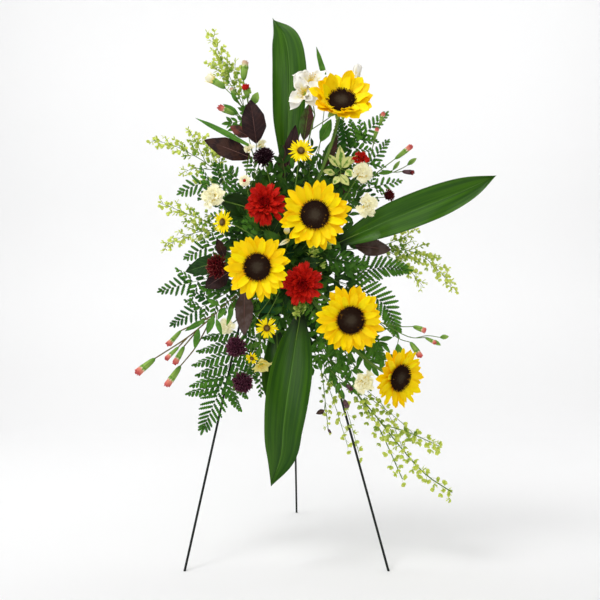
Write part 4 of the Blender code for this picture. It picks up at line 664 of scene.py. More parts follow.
class Form:
    """Mesh in the making, in groups of points, marks and faces."""

    def __init__(self):
        self.points = []
        self.marks = []
        self.faces = []
        self.count = 0

    def add(self, points, marks, groups, paint):
        self.faces.extend((faces + self.count, paint) for faces in groups)
        self.points.append(points.reshape(-1, 3))
        self.marks.append(marks.reshape(-1, 3))
        self.count += len(self.points[-1])

    def slabs(self, grids, marks, thickness, paint):
        """Closed blades from grids of shape (blades, rows, cols, 3), or bare sheets at no thickness."""
        blades, rows, cols, _ = grids.shape
        faces = slab_faces(rows, cols)
        if thickness:
            normal = np.cross(np.gradient(grids, axis=2), np.gradient(grids, axis=1))
            normal /= np.maximum(np.linalg.norm(normal, axis=-1, keepdims=True), TINY)
            half = normal * (thickness / 2)
            grids = np.stack([grids + half, grids - half], axis=1)
            marks = np.stack([marks, marks], axis=1)
        else:
            faces = faces[:(rows - 1) * (cols - 1)]
        firsts = np.arange(blades) * (grids.size // (3 * blades))
        self.add(grids, marks, [(faces[None] + firsts[:, None, None]).reshape(-1, 4)], paint)

    def skin(self, rings, paint, chance, hand=1, across=None):
        """Closed skin over rings of points, which run round their axis by the right or the left hand."""
        count, sides, _ = rings.shape
        index = np.arange(count * sides).reshape(count, sides)
        ahead = np.roll(index, -1, axis=1)
        beside = [ahead[:-1], ahead[1:], index[1:]][::hand]
        walls = np.stack([index[:-1], *beside], -1).reshape(-1, 4)
        across = np.arange(sides) / sides if across is None else np.reshape(across, (-1, 1))
        marks = marks_of((count, sides), np.linspace(0, 1, count)[:, None], across, chance)
        self.add(rings, marks, [walls, index[0][None, ::-hand], index[-1][None, ::hand]], paint)

    def tube(self, path, radii, paint, sides, chance=0.5, level=False):
        """Round stem along a path, with its radii at the start and the tip, or at every point.

        level cuts its start flat on the floor.
        """
        path = np.asarray(path, float)
        radii = np.linspace(*radii, len(path)) if len(radii) == 2 else radii
        ahead = headings(path)
        side = np.cross(ahead[0], OFF_AXIS)
        right = []
        for way in ahead:
            side = unit(side - way * np.dot(side, way))
            right.append(side)
        ring = ring_round(np.array(right), np.cross(right, ahead), sides)
        rings = path[:, None] + ring * radii[:, None, None]
        if level:
            rings[0] -= ahead[0] * (rings[0, :, 2] / ahead[0][2])[:, None]
        self.skin(rings, paint, chance, hand=-1)

    def rods(self, starts, ends, radius, paint, chance, sides=4, taper=0.8, across=None):
        """Many short straight stalks at once. across is the share across in the mark, where given."""
        way = unit(ends - starts)
        right = unit(np.cross(way, OFF_AXIS))
        ring = ring_round(right, np.cross(right, way), sides) * radius
        points = np.stack([starts[:, None] + ring, ends[:, None] + ring * taper], axis=1)
        base = (np.arange(len(starts)) * 2 * sides)[:, None, None]
        i = np.arange(sides)
        j = (i + 1) % sides
        wall = np.stack([i, i + sides, j + sides, j], -1)[None] + base
        low = i[None, None] + base
        high = (i + sides)[::-1][None, None] + base
        across = i / sides if across is None else across[:, None, None]
        along = np.array(((0.0,), (1.0,)))
        marks = marks_of(points.shape[:3], along, across, np.reshape(chance, (-1, 1, 1)))
        groups = [wall.reshape(-1, 4), low.reshape(-1, sides), high.reshape(-1, sides)]
        self.add(points, marks, groups, paint)

    def turned(self, place, profile, sides, paint, chance=0.5, bump=0.0, across=None):
        """Closed solid turned about the frame's Z from (radius, height) pairs.

        bump pushes every other point out, and across is as in rods, for each pair.
        """
        origin, axes = place
        turn = math.tau * np.arange(sides) / sides
        rings = np.array([[(r * math.cos(a), r * math.sin(a), z) for a in turn] for r, z in profile])
        rings[..., :2] *= (1.0 + bump * np.cos(np.arange(sides) * math.pi))[None, :, None]
        self.skin(rings @ axes.T + origin, paint, chance, across=across)

    def piece(self, name, slot, node, body="stand"):
        """Mesh object that stands for a node and rides on its body."""
        points = np.concatenate(self.points) + np.array(HOME)
        mesh = bpy.data.meshes.new(name)
        mesh.vertices.add(len(points))
        mesh.vertices.foreach_set("co", points.ravel())
        loops = np.concatenate([faces.ravel() for faces, _ in self.faces])
        widths = np.concatenate([np.full(len(faces), faces.shape[1]) for faces, _ in self.faces])
        mesh.loops.add(len(loops))
        mesh.loops.foreach_set("vertex_index", loops)
        mesh.polygons.add(len(widths))
        mesh.polygons.foreach_set("loop_start", np.concatenate([[0], np.cumsum(widths)[:-1]]))
        used = sorted({paint for _, paint in self.faces})
        for paint in used:
            mesh.materials.append(PAINTS[paint])
        worn = np.concatenate([np.full(len(faces), used.index(paint)) for faces, paint in self.faces])
        mesh.polygons.foreach_set("material_index", worn)
        mark = mesh.attributes.new("mark", "FLOAT_VECTOR", "POINT")
        mark.data.foreach_set("vector", np.concatenate(self.marks).ravel())
        mesh.update(calc_edges=True)
        mesh.shade_smooth()
        mesh.set_sharp_from_angle(angle=SHARP_EDGE)
        made = bpy.data.objects.new(name, mesh)
        bpy.context.scene.collection.objects.link(made)
        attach(made, body)
        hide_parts(node)


# Outlines: share along, share of the width

OUTLINES = {
    "sunflower": ((0, 0.50), (0.15, 0.80), (0.45, 1.0), (0.72, 0.95), (0.88, 0.68), (0.96, 0.34),
                  (1, 0.08)),
    "strap": ((0, 0.40), (0.25, 0.75), (0.65, 1.0), (0.90, 0.92), (1, 0.50)),
    "mum": ((0, 0.35), (0.35, 0.66), (0.75, 1.0), (0.92, 0.92), (1, 0.62)),
    "round": ((0, 0.12), (0.25, 0.72), (0.6, 1.0), (0.85, 0.86), (1, 0.45)),
    "fan": ((0, 0.16), (0.35, 0.52), (0.75, 0.96), (0.92, 1.0), (1, 0.92)),
    "spiky": ((0, 0.55), (0.25, 0.90), (0.60, 1.0), (0.85, 0.66), (1, 0.10)),
    "lily": ((0, 0.22), (0.30, 0.82), (0.50, 1.0), (0.72, 0.76), (0.90, 0.34), (1, 0.03)),
    "leaf": ((0, 0.06), (0.10, 0.45), (0.35, 1.0), (0.62, 0.92), (0.85, 0.48), (1, 0.02)),
    "grass": ((0, 0.45), (0.40, 1.0), (0.75, 0.70), (1, 0.03)),
    "bract": ((0, 0.85), (0.3, 1.0), (0.7, 0.55), (1, 0.03)),
}


def toothed_outline(teeth, notch):
    """Outline of a fern leaflet with a number of teeth on each side, cut in to the share notch."""
    shares = np.linspace(0, 1, 2 * teeth + 1)
    width = np.interp(shares, (0, 0.15, 0.5, 0.8, 0.93, 1), (0.55, 0.95, 1.0, 0.86, 0.55, 0.10))
    return np.column_stack([shares, width * np.where(np.arange(len(shares)) % 2, 1.0, notch)])


OUTLINES["toothed"] = toothed_outline(5, 0.80)
OUTLINES["long toothed"] = toothed_outline(8, 0.55)


def blades(form, paint, root, out, up, length, width, outline, start=0.0, bend=0.0, fold=0.0, cup=0.0,
           wave=0.0, ripples=2.0, twist=0.0, notch=0.0, fringe=0.0, rows=8, cols=5, thickness=0.0004,
           chance=0.5, phase=0.0):
    """Petals or leaves, many at once.

    root, out and up are (blades, 3). A blade starts along out, tipped toward up by start, and turns by
    bend along its length and by twist about it. fold and cup lift its edges, wave ripples them from
    phase on, and notch and fringe cut its end. chance goes into its marks.
    """
    root = np.atleast_2d(np.asarray(root, float))
    count = len(root)
    out = unit(np.broadcast_to(out, (count, 3)))
    up = np.broadcast_to(up, (count, 3))
    up = unit(up - out * np.sum(up * out, axis=1, keepdims=True))
    length, width, start, bend, fold, cup, wave, twist, chance, phase = (
        np.broadcast_to(np.asarray(value, float), (count,))[:, None]
        for value in (length, width, start, bend, fold, cup, wave, twist, chance, phase))
    s = np.linspace(0, 1, rows)[None]
    t = np.linspace(-1, 1, cols)[None, None]
    slope = start + bend * (s[:, 1:] + s[:, :-1]) / 2
    step = 1.0 / (rows - 1)
    x, z = (np.pad(np.cumsum(rise, axis=1) * step, ((0, 0), (1, 0))) * length
            for rise in (np.cos(slope), np.sin(slope)))
    angle = (start + bend * s)[..., None]
    spine = root[:, None] + out[:, None] * x[..., None] + up[:, None] * z[..., None]
    along = out[:, None] * np.cos(angle) + up[:, None] * np.sin(angle)
    lift = up[:, None] * np.cos(angle) - out[:, None] * np.sin(angle)
    side = np.cross(out, up)[:, None]
    turn = (twist * s)[..., None]
    across = side * np.cos(turn) + lift * np.sin(turn)
    lift = lift * np.cos(turn) - side * np.sin(turn)
    shares, shape = np.array(OUTLINES[outline], float).T
    half = (width / 2 * np.interp(s, shares, shape))[..., None]
    ripple = np.sin(math.tau * (ripples * s + phase))[..., None] * wave[..., None] * np.sign(t)
    raised = half * (fold[..., None] * np.abs(t) + cup[..., None] * t * t)
    raised = raised + ripple * width[..., None] * t * t
    saw = np.where(np.arange(cols) % 2, 1.0, -1.0)[None, None]
    back = length[..., None] * (fringe * saw - notch * (1.0 - np.abs(t))) * s[..., None] ** 6
    grids = (spine[:, :, None] + across[:, :, None] * (half * t)[..., None]
             + lift[:, :, None] * raised[..., None] + along[:, :, None] * back[..., None])
    marks = marks_of((count, rows, cols), s[..., None], (t + 1) / 2, chance[..., None])
    form.slabs(grids, marks, thickness, paint)


# Stems and sprays

# How far a stem runs straight out of its hole, and how strongly it keeps the ways at its ends
STRAIGHT_OUT = 0.004
STEM_PULL = 0.45
# Radius of a leaf's stalk and of a bud's or a head's stalk on a spray, in millimetres
LEAF_STALK = 1.1
TWIG = 1.2
# Radii of fine stems at their start and tip, in metres
LEAF_RIB = (0.0010, 0.0003)
SPRIG_TWIG = (0.0009, 0.0005)
STRAP_STALK = (0.0019, 0.0010)
FROND_RIB = (0.0012, 0.0004)
FEATHER_RIB = (0.0007, 0.0003)
PLUME_STEM = (0.0010, 0.0004)
PLUME_TWIG = (0.0005, 0.0003)
FILL_TWIG = (0.0007, 0.0003)


def foam_seat(face, u, v):
    """Bottom and mouth of a stem hole, and the way out of it. u and v are in millimetres."""
    u, v = metres((u, v))
    spots = {"front": ((u, FOAM_LOW.y, v), (0, -1, 0)), "left": ((FOAM_LOW.x, u, v), (-1, 0, 0)),
             "right": ((FOAM_HIGH.x, u, v), (1, 0, 0)), "top": ((u, v, FOAM_HIGH.z), (0, 0, 1)),
             "bottom": ((u, v, FOAM_LOW.z), (0, 0, -1))}
    mouth, way = (np.array(item, float) for item in spots[face])
    return mouth - way * (HOLE_DEPTH - GAP), mouth + way * STRAIGHT_OUT, way


def nearest(path, place):
    """Nearest place on a path, and how far off it is."""
    start, end = path[:-1], path[1:]
    span = end - start
    reached = np.sum((place - start) * span, axis=1) / np.maximum(np.sum(span ** 2, axis=1), TINY)
    share = np.clip(reached, 0, 1)
    found = start + span * share[:, None]
    off = np.linalg.norm(found - place, axis=1)
    k = int(np.argmin(off))
    return found[k], off[k]


LEAF_FACING = (0.0, -1.0, 0.1)
# Calyx of a bud from its foot: share of the radius, share of the length
CALYX = ((0.12, -0.02), (0.42, 0.05), (0.62, 0.18), (0.74, 0.40), (0.80, 0.60), (0.74, 0.66))


class Spray:
    """Leafy or flowering stem from its hole, with twigs that leave the nearest axis.

    Its places and sizes are given in millimetres, apart from those of twig.
    """

    def __init__(self, name, root, stalk, radius, slot, leaf_paint="green_leaf", paint="stem"):
        bottom, mouth, _ = foam_seat(*root)
        radius = radius / 1000
        self.name = name
        self.slot = slot
        self.paint = paint
        self.leaf_paint = leaf_paint
        self.twig_radius = TWIG
        self.form = Form()
        self.rng = random.Random(name)
        self.axes = []
        self.twig(np.vstack([bottom, smooth([mouth, *metres(stalk)], 6)]), radius * 0.9, radius * 0.75)

    def twig(self, path, radius, tip_radius):
        self.axes.append(path)
        self.form.tube(path, (radius, tip_radius), self.paint, 6, self.rng.random())

    def limb(self, points, steps, end=()):
        """Smooth path whose first point is moved to the nearest place on an axis; end is in metres."""
        first, *others = metres(points)
        start = min((nearest(axis, first) for axis in self.axes), key=lambda item: item[1])[0]
        return smooth([start, *others, *end], steps)

    def branch(self, points, radius, end=()):
        path = self.limb(points, 4, end)
        self.twig(path, radius / 1000, radius / 1000 * 0.8)
        return path

    def leaf(self, points, tip, width, sag=3, tone=None, paint=None, outline="leaf"):
        """Leaf on its stalk, arched by sag, with a raised midrib. tone is the chance of its mark."""
        base, tip = self.branch(points, LEAF_STALK)[-1], metres(tip)
        width, sag = width / 1000, sag / 1000
        paint = paint or self.leaf_paint
        length = np.linalg.norm(tip - base)
        out = (tip - base) / length
        arch = math.atan2(4 * sag, length)
        tone = self.rng.random() if tone is None else tone
        blades(self.form, paint, base, out, LEAF_FACING, length, width, outline, start=arch,
               bend=-2 * arch, fold=0.16, cup=-0.10, wave=0.035, ripples=2.4, rows=22, cols=9,
               thickness=0.0006, chance=tone, phase=self.rng.random())
        rib = spread(np.array([base, base + out * length * 0.97]), np.linspace(0, 1, 8))
        rib = rib + unit(LEAF_FACING) * (np.sin(np.linspace(0, math.pi, 8)) * sag)[:, None]
        rib_paint = "rib" if paint == "burgundy_leaf" else "stem"
        self.form.tube(rib, LEAF_RIB, rib_paint, 5, self.rng.random())

    def sprig(self, start, end, length, width, pairs, paint="filler_leaf"):
        """Fine twig with pairs of small leaves and one at its end."""
        start, end = metres((start, end))
        length, width = length / 1000, width / 1000
        t = np.linspace(0, 1, 6)[:, None]
        span = end - start
        path = start + span * t + np.array((0.0, 0.0, 0.10)) * np.linalg.norm(span) * t * (1 - t)
        self.form.tube(path, SPRIG_TWIG, "stem", 5, self.rng.random())
        share = np.repeat(np.linspace(0.30, 0.92, pairs), 2)
        hand = np.tile((1.0, -1.0), pairs)[:, None]
        way = unit(span)
        side = unit(np.cross(way, TOWARD_VIEWER + draws(self.rng, 3, -0.5, 0.5)))
        out = np.vstack([unit(side * hand * 0.8 + way * 0.75 + strays(self.rng, 2 * pairs, 0.3)), way])
        spots = np.vstack([spread(path, share), path[-1]])
        count = len(spots)
        tones = np.clip(self.rng.uniform(0.2, 0.8) + draws(self.rng, count, -0.2, 0.2), 0, 1)
        facing = TOWARD_VIEWER + strays(self.rng, count, 0.6)
        blades(self.form, paint, spots, out, facing, length * draws(self.rng, count, 0.75, 1.1), width,
               "leaf", start=0.15, bend=draws(self.rng, count, -0.7, 0.1), fold=0.18, wave=0.04, rows=9,
               cols=5, thickness=0, chance=tones)

    def bud(self, points, tip, radius, paint="coral_petal", calyx_paint="calyx", open=0.15):
        """Long green calyx with folded petals at its mouth. open is how far they have unfolded."""
        base, tip = self.branch(points, self.twig_radius)[-1], metres(tip)
        radius = radius / 1000
        length = np.linalg.norm(tip - base)
        place = aim(base, tip - base)
        calyx = [(r * radius, z * length) for r, z in CALYX]
        self.form.turned(place, calyx, 10, calyx_paint, self.rng.random(), 0.03)
        long, wide = (0.40 + 0.2 * open) * length, (0.95 + 0.5 * open) * radius
        rows = ((0.62 * radius, 0.58 * length, long, wide, 1.42 - 0.5 * open, 0.25),
                (0.30 * radius, 0.60 * length, long * 1.04, wide * 0.9, 1.50 - 0.3 * open, 0.10))
        for number, row in enumerate(rows):
            ring_of(self.form, paint, place, 6, row, number, self.rng, outline="strap", cup=0.5, rows=5,
                    cols=5)
        teeth = (0.76 * radius, 0.56 * length, 0.20 * length, radius * 0.7, 1.45, 0.2)
        ring_of(self.form, calyx_paint, place, 6, teeth, 1, self.rng, outline="bract", cup=0.2, rows=4,
                cols=3)

    def bloom(self, maker, at, facing, points, back, *settings):
        """Head of a kind on its stalk, which ends the given distance behind it."""
        place = aim(metres(at), facing)
        self.branch(points, TWIG, [place[0] - unit(facing) * (back / 1000)])
        maker(self.form, place, *settings)

    def finish(self):
        self.form.piece(self.name + "_grown", self.slot, self.name)


def headed_stem(form, root, at, facing, back, radius):
    """Stem from its hole to the back of a head, arriving along the way that the head faces."""
    bottom, mouth, way = foam_seat(*root)
    neck = at - unit(facing) * back
    span = np.linalg.norm(neck - mouth) * STEM_PULL
    t = np.linspace(0, 1, 15)[:, None]
    curve = cubic(mouth, mouth + way * span, neck - unit(facing) * span, neck, t)
    form.tube(np.vstack([bottom, curve]), (radius * 0.9, radius * 0.9), "stem", 8)


def single_head(node, slot, root, at, facing, back, radius, maker, *settings):
    """Head of a kind on a stem of its own, with its places and sizes in millimetres."""
    form = Form()
    place = aim(metres(at), facing)
    headed_stem(form, root, place[0], facing, back / 1000, radius / 1000)
    maker(form, place, *settings)
    form.piece(node + "_head", slot, node)


# Heads

def ring_of(form, paint, place, count, row, number, rng, uneven=0.4, **looks):
    """One ring of petals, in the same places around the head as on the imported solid.

    row is foot radius, foot height, length, width, start and bend; bend may be a function of the
    turns of the petals and the draws.
    uneven is how far the petals stray from a regular ring.
    """
    radius, height, length, width, start, bend = row
    origin, axes = place
    places = np.arange(count) + number % 2 / 2 + 0.25 + uneven * draws(rng, count, -0.6, 0.6)
    turn = math.tau * places / count
    out = np.stack([np.cos(turn), np.sin(turn), np.zeros(count)], axis=1)
    root = origin + (out * radius + np.array((0.0, 0.0, height))) @ axes.T
    bends = bend(turn, rng) if callable(bend) else bend * draws(rng, count, 0.75, 1.25)
    blades(form, paint, root, out @ axes.T, axes[:, 2],
           length * draws(rng, count, 1.0 - 0.35 * uneven, 1.04),
           width * draws(rng, count, 1.0 - 0.3 * uneven, 1.08),
           start=start + uneven * draws(rng, count, -0.15, 0.15), bend=bends,
           twist=uneven * draws(rng, count, -0.5, 0.5), chance=draws(rng, count, 0, 1),
           phase=draws(rng, count, 0, 1), **looks)


def seed_places(place, count, radius, height_of):
    """Places of close-set florets on a head, the way out of it at each, and the share of the radius."""
    origin, axes = place
    k = np.arange(count)
    share = np.sqrt((k + 0.5) / count)
    turn = k * GOLDEN_ANGLE
    out = np.stack([np.cos(turn), np.sin(turn)], axis=1)
    height, slope = height_of(share), (height_of(share + 0.01) - height_of(share - 0.01)) / 0.02
    spots = np.column_stack([out * (share * radius)[:, None], height])
    ways = unit(np.column_stack([-out * (slope / radius)[:, None], np.ones(count)]))
    return origin + spots @ axes.T, ways @ axes.T, share


def core(form, paint, place, radius, height_of, low, sides=28):
    """Closed body under the florets of a head."""
    shares = np.linspace(1.0, 0.02, 9)
    profile = [(radius * 0.75, low), *((radius * s, float(height_of(np.array(s)))) for s in shares)]
    form.turned(place, profile, sides, paint, across=[1.0, *shares])


# Sunflowers

DISC_FLORETS = 330
# Layers of petals from the back: share of their number, length, width, start and height of the foot
RAY_ROWS = ((1.0, 1.06, 0.27, -0.12, -0.0010), (1.0, 1.02, 0.26, 0.04, 0.0002),
            (0.6, 0.92, 0.22, 0.20, 0.0014))


def disc_rise(share):
    """Height of a sunflower's disc, a little sunk in the middle and rounded off at the rim."""
    return 0.0048 * np.sqrt(np.maximum(0.0, 1 - (share * 0.97) ** 6)) - 0.0016 * np.exp(-(share / 0.3) ** 2)


def sunflower(name, root, at, facing, radius, seed, petals=17, cup=0.45, over=0.0, rise=0.0, broad=1.0,
              disc=1.0):
    """Three layers of petals, a disc of close florets, and the stem with its bracts.

    cup is how far the petals bend forward, over adds bend on one side, and rise lifts them all. broad
    widens the petals, and disc enlarges the disc. at and radius are in millimetres.
    """
    place = aim(metres(at), facing)
    radius, disc_radius = radius / 1000, DISC_RADIUS * disc
    rng = random.Random(seed)

    def curl(turn, draw):
        return cup * draws(draw, len(turn), 0.3, 1.5) + over * np.maximum(0.0, np.cos(turn)) ** 2

    petals_form = Form()
    looks = {"outline": "sunflower", "fold": 0.12, "cup": 0.16, "wave": 0.08, "ripples": 1.7,
             "rows": 14, "cols": 7, "uneven": 0.5}
    foot = PLATE_RADIUS * 0.78
    for number, (share, long, wide, start, height) in enumerate(RAY_ROWS):
        row = (foot, height, (radius - foot) * long, radius * wide * broad, start + rise, curl)
        ring_of(petals_form, "sunflower_petal", place, round(petals * share), row, number, rng, **looks)
    plate = ((0.004, PLATE_BOTTOM), (PLATE_RADIUS * 0.9, PLATE_BOTTOM), (PLATE_RADIUS, 0.0),
             (0.006, PLATE_TOP))
    petals_form.turned(place, plate, 26, "calyx")
    petals_form.piece("sunflower_" + name + "_rays", "sunflower_yellow", "sunflower_" + name + "_petals")

    florets = Form()
    origin, axes = place
    raised = (origin + axes[:, 2] * (PLATE_TOP + GAP + DISC_LIFT), axes)
    core(florets, "disc_floret", raised, disc_radius * 0.96, disc_rise, -DISC_LIFT)
    spots, ways, share = seed_places(raised, DISC_FLORETS, disc_radius * 0.98, disc_rise)
    long = draws(rng, DISC_FLORETS, 0.0018, 0.0026) + 0.0030 * np.exp(-((share - 0.92) / 0.16) ** 2)
    lean = unit(ways + (spots - raised[0]) * 22.0)
    florets.rods(spots - ways * 0.001, spots + lean * long[:, None], 0.00105, "disc_floret",
                 draws(rng, DISC_FLORETS, 0, 1), 6, 0.62, share)
    florets.piece("sunflower_" + name + "_florets", "sunflower_disc", "sunflower_" + name + "_disc")

    stalk = Form()
    base = PLATE_BOTTOM - GAP
    headed_stem(stalk, root, origin, facing, -base + 0.020, 0.0040)
    neck = ((0.0042, base - 0.024), (0.006, base - 0.018), (0.013, base - 0.009),
            (0.0165, base - 0.005), (0.016, base), (0.004, base))
    stalk.turned(place, neck, 20, "calyx")
    for number, (long, start) in enumerate(((0.027, -0.28), (0.022, -0.12))):
        row = (0.0145, base - 0.004, long, 0.0125, start, -0.35)
        ring_of(stalk, "calyx", place, 12, row, number, rng, outline="leaf", fold=0.1, wave=0.02,
                rows=8, cols=5)
    stalk.piece("sunflower_" + name + "_stalk", "stem_green", "sunflower_" + name + "_stem")


# Round heads, each the end of a stem

# Rings of a mum from the outside in: petals, length, width and start
MUM_ROWS = ((18, 0.0425, 0.0134, -0.12), (18, 0.0410, 0.0132, 0.08), (17, 0.0380, 0.0126, 0.26),
            (17, 0.0345, 0.0118, 0.44), (16, 0.0305, 0.0108, 0.62), (15, 0.0265, 0.0096, 0.80),
            (14, 0.0225, 0.0084, 0.98), (12, 0.0190, 0.0074, 1.14), (10, 0.0160, 0.0064, 1.28),
            (8, 0.0135, 0.0054, 1.42))
MUM_HEART = ((0.003, -0.009), (0.009, -0.004), (0.010, 0.001), (0.006, 0.005), (0.002, 0.007))
OUTER_MUM_ROWS = 6


def mum_end(form, place, seed):
    """Many rings of blunt petals that close up toward the middle."""
    rng = random.Random(seed)
    form.turned(place, MUM_HEART, 16, "calyx")

    def curl(turn, draw):
        return draws(draw, len(turn), -0.30, 0.70)

    for number, (count, length, width, start) in enumerate(MUM_ROWS):
        share = number / len(MUM_ROWS)
        row = (0.010 * (1 - share), 0.007 * share - 0.001, length, width, start, curl)
        # The inner rows, deep in the cup, take the darker crimson petals as painted shade
        paint = "red_petal" if number < OUTER_MUM_ROWS else "crimson_petal"
        ring_of(form, paint, place, count, row, number, rng, 1.0, outline="mum", fold=0.35, cup=0.2,
                notch=0.06, fringe=0.055, wave=0.13, ripples=1.6, rows=10, cols=7)


# Rings of a carnation from the outside in: petals, and by its size their length, width, start and bend
FRILL_ROWS = ((8, 0.49, 0.38, -0.02, 0.15), (8, 0.46, 0.36, 0.30, 0.20), (7, 0.41, 0.34, 0.60, 0.20),
              (6, 0.37, 0.30, 0.88, 0.25), (5, 0.31, 0.27, 1.14, 0.25), (4, 0.25, 0.22, 1.36, 0.10))
CARNATION_TUBE = ((0.05, -0.42), (0.10, -0.36), (0.125, -0.22), (0.145, -0.02), (0.13, 0.06), (0.05, 0.10))


def carnation_end(form, place, size, around, seed, paint="cream_petal"):
    """Frilled head about size millimetres across on its tubular calyx; around is 12 for a full one."""
    size = size / 1000
    rng = random.Random(seed)
    form.turned(place, [(r * size, z * size) for r, z in CARNATION_TUBE], 14, "calyx")
    for number, (count, length, width, start, bend) in enumerate(FRILL_ROWS):
        share = number / len(FRILL_ROWS)
        row = (size * 0.10 * (1 - share), size * (0.14 * share - 0.01), length * size, width * size,
               start, bend)
        ring_of(form, paint, place, max(3, round(count * (around / 12))), row, number, rng, 1.0,
                outline="fan", wave=0.30, ripples=1.5, cup=0.10, fringe=0.09, notch=-0.08, rows=9, cols=15)


def button_end(form, place, radius, seed):
    """Flat little head with rings of blunt florets round a dark middle. radius is in millimetres."""
    radius = radius / 1000
    rng = random.Random(seed)
    for number, (length, start) in enumerate(((1.0, 0.1), (0.85, 0.4), (0.6, 0.8))):
        row = (0.15 * radius, 0.1 * radius * number, length * radius * 0.85, 0.42 * radius, start, 0.2)
        ring_of(form, "cream_petal", place, 12, row, number, rng, outline="fan", cup=0.2, rows=5, cols=5)
    form.turned(place, ((0.1 * radius, -0.3 * radius), (0.26 * radius, 0.0), (0.24 * radius, 0.5 * radius),
                        (0.05 * radius, 0.62 * radius)), 10, "crimson_petal", 0.5, 0.08)


def floret_end(form, place, radius, height, around, seed, paint="black_floret"):
    """Dense head of small pointed florets that stand out of a dome, radius and height in millimetres.

    Around its edge stand about as many as around says, and nine times as many in all.
    """
    radius, height = radius / 1000, height / 1000
    rng = random.Random(seed)

    def dome(share):
        return height * (0.62 * np.sqrt(np.maximum(0.0, 1 - (share * 0.98) ** 2)) - 0.1)

    core(form, paint, place, radius * 0.62, dome, -0.35 * height, 20)
    count = round(around * 9)
    spots, ways, share = seed_places(place, count, radius * 0.62, dome)
    lean = unit(ways + unit(spots - place[0]) * (0.35 + 1.1 * share ** 3)[:, None])
    turned = np.cross(lean, strays(rng, count, 1))
    blades(form, paint, spots, lean, turned, radius * 0.42 * draws(rng, count, 0.75, 1.2), radius * 0.2,
           "lily", bend=draws(rng, count, -0.5, 0.7), cup=0.5, wave=0.05, rows=6, cols=3,
           chance=draws(rng, count, 0, 1))


def build_dark_heads():
    single_head("scabiosa", "near_black", ("front", -44, 777), (-81, 10, 924), (-0.1, -0.9, 0.4), 10, 1.5,
                floret_end, 26, 20, 18, 51)

    purple = Spray("purple_heads", ("front", -62, 616), [(-85, 40, 585), (-120, 30, 540)], 1.5, "plum")
    purple.bloom(floret_end, (-141, 0, 500), (-0.2, -0.95, 0.0), [(-120, 30, 540), (-134, 22, 515)], 8, 26,
                 18, 16, 54, "plum_floret")
    purple.bloom(floret_end, (-127, 0, 422), (0.0, -0.95, -0.2), [(-112, 33, 549), (-112, 30, 470)], 8, 26,
                 18, 16, 55, "plum_floret")
    purple.finish()


# Daisies

EYE_FLORETS = 110


def daisy_end(form, place, radius, petals, start, seed):
    """Daisy: narrow notched petals under a domed eye of florets. radius is in millimetres."""
    radius = radius / 1000
    rng = random.Random(seed)
    count = round(petals * 1.75)
    for number, (long, rise) in enumerate(((0.80, -0.05), (0.74, 0.12))):
        row = (0.22 * radius, 0.01 * radius * number, long * radius, 3.3 * radius / count, start + rise,
               0.12)
        ring_of(form, "daisy_petal", place, count if number == 0 else round(count * 0.6), row, number, rng,
                uneven=0.8, outline="spiky", fold=0.15, cup=-0.2, notch=0.05, rows=9, cols=5)

    def dome(share):
        return radius * (0.15 * np.sqrt(np.maximum(0.0, 1 - (share * 0.97) ** 2)) + 0.02)

    core(form, "daisy_eye", place, radius * 0.27, dome, -0.08 * radius, 18)
    spots, ways, share = seed_places(place, EYE_FLORETS, radius * 0.27, dome)
    form.rods(spots - ways * 0.0008, spots + ways * 0.045 * radius, radius * 0.022, "daisy_eye",
              draws(rng, EYE_FLORETS, 0, 1), 5, 0.6, share)


# White alstroemeria

# Rings of a funnel from the outside in: share of the length, start and bend
TRUMPET_ROWS = ((1.08, 0.80, -0.95), (1.0, 0.98, -0.8), (0.72, 1.22, -0.5))


def trumpet_end(form, place, length, width, seed, paint="white_petal"):
    """Funnel of three rings of waved petals round its six stamens. Its sizes are in millimetres."""
    length, width = length / 1000, width / 1000
    rng = random.Random(seed)
    form.turned(place, ((0.0018, -0.020), (0.0036, -0.010), (0.0046, -0.003), (0.004, 0.002)), 12, "calyx")
    for number, (share, start, bend) in enumerate(TRUMPET_ROWS):
        row = (0.0030, -0.002, length * share, width * share * 1.15, start, bend)
        ring_of(form, paint, place, 4 if number < 2 else 3, row, number, rng, 0.8, outline="lily",
                fold=-0.05, cup=0.25, wave=0.12, ripples=1.8, rows=16, cols=9)
    origin, axes = place
    turn = math.tau * (np.arange(6) + 0.3) / 6
    lean = np.stack([np.cos(turn) * 0.28, np.sin(turn) * 0.28, np.ones(6)], axis=1)
    ends = origin + unit(lean) @ axes.T * (length * 0.58)
    form.rods(np.repeat(origin[None], 6, axis=0), ends, 0.0004, "pollen", 0.3, 5)
    form.rods(ends - axes[:, 0] * 0.0012, ends + axes[:, 0] * 0.0012, 0.0010, "pollen", 0.8, 6, 0.7)


# Strap leaves

STRAP_CHANNEL = 0.12
STRAP_STEPS = 12


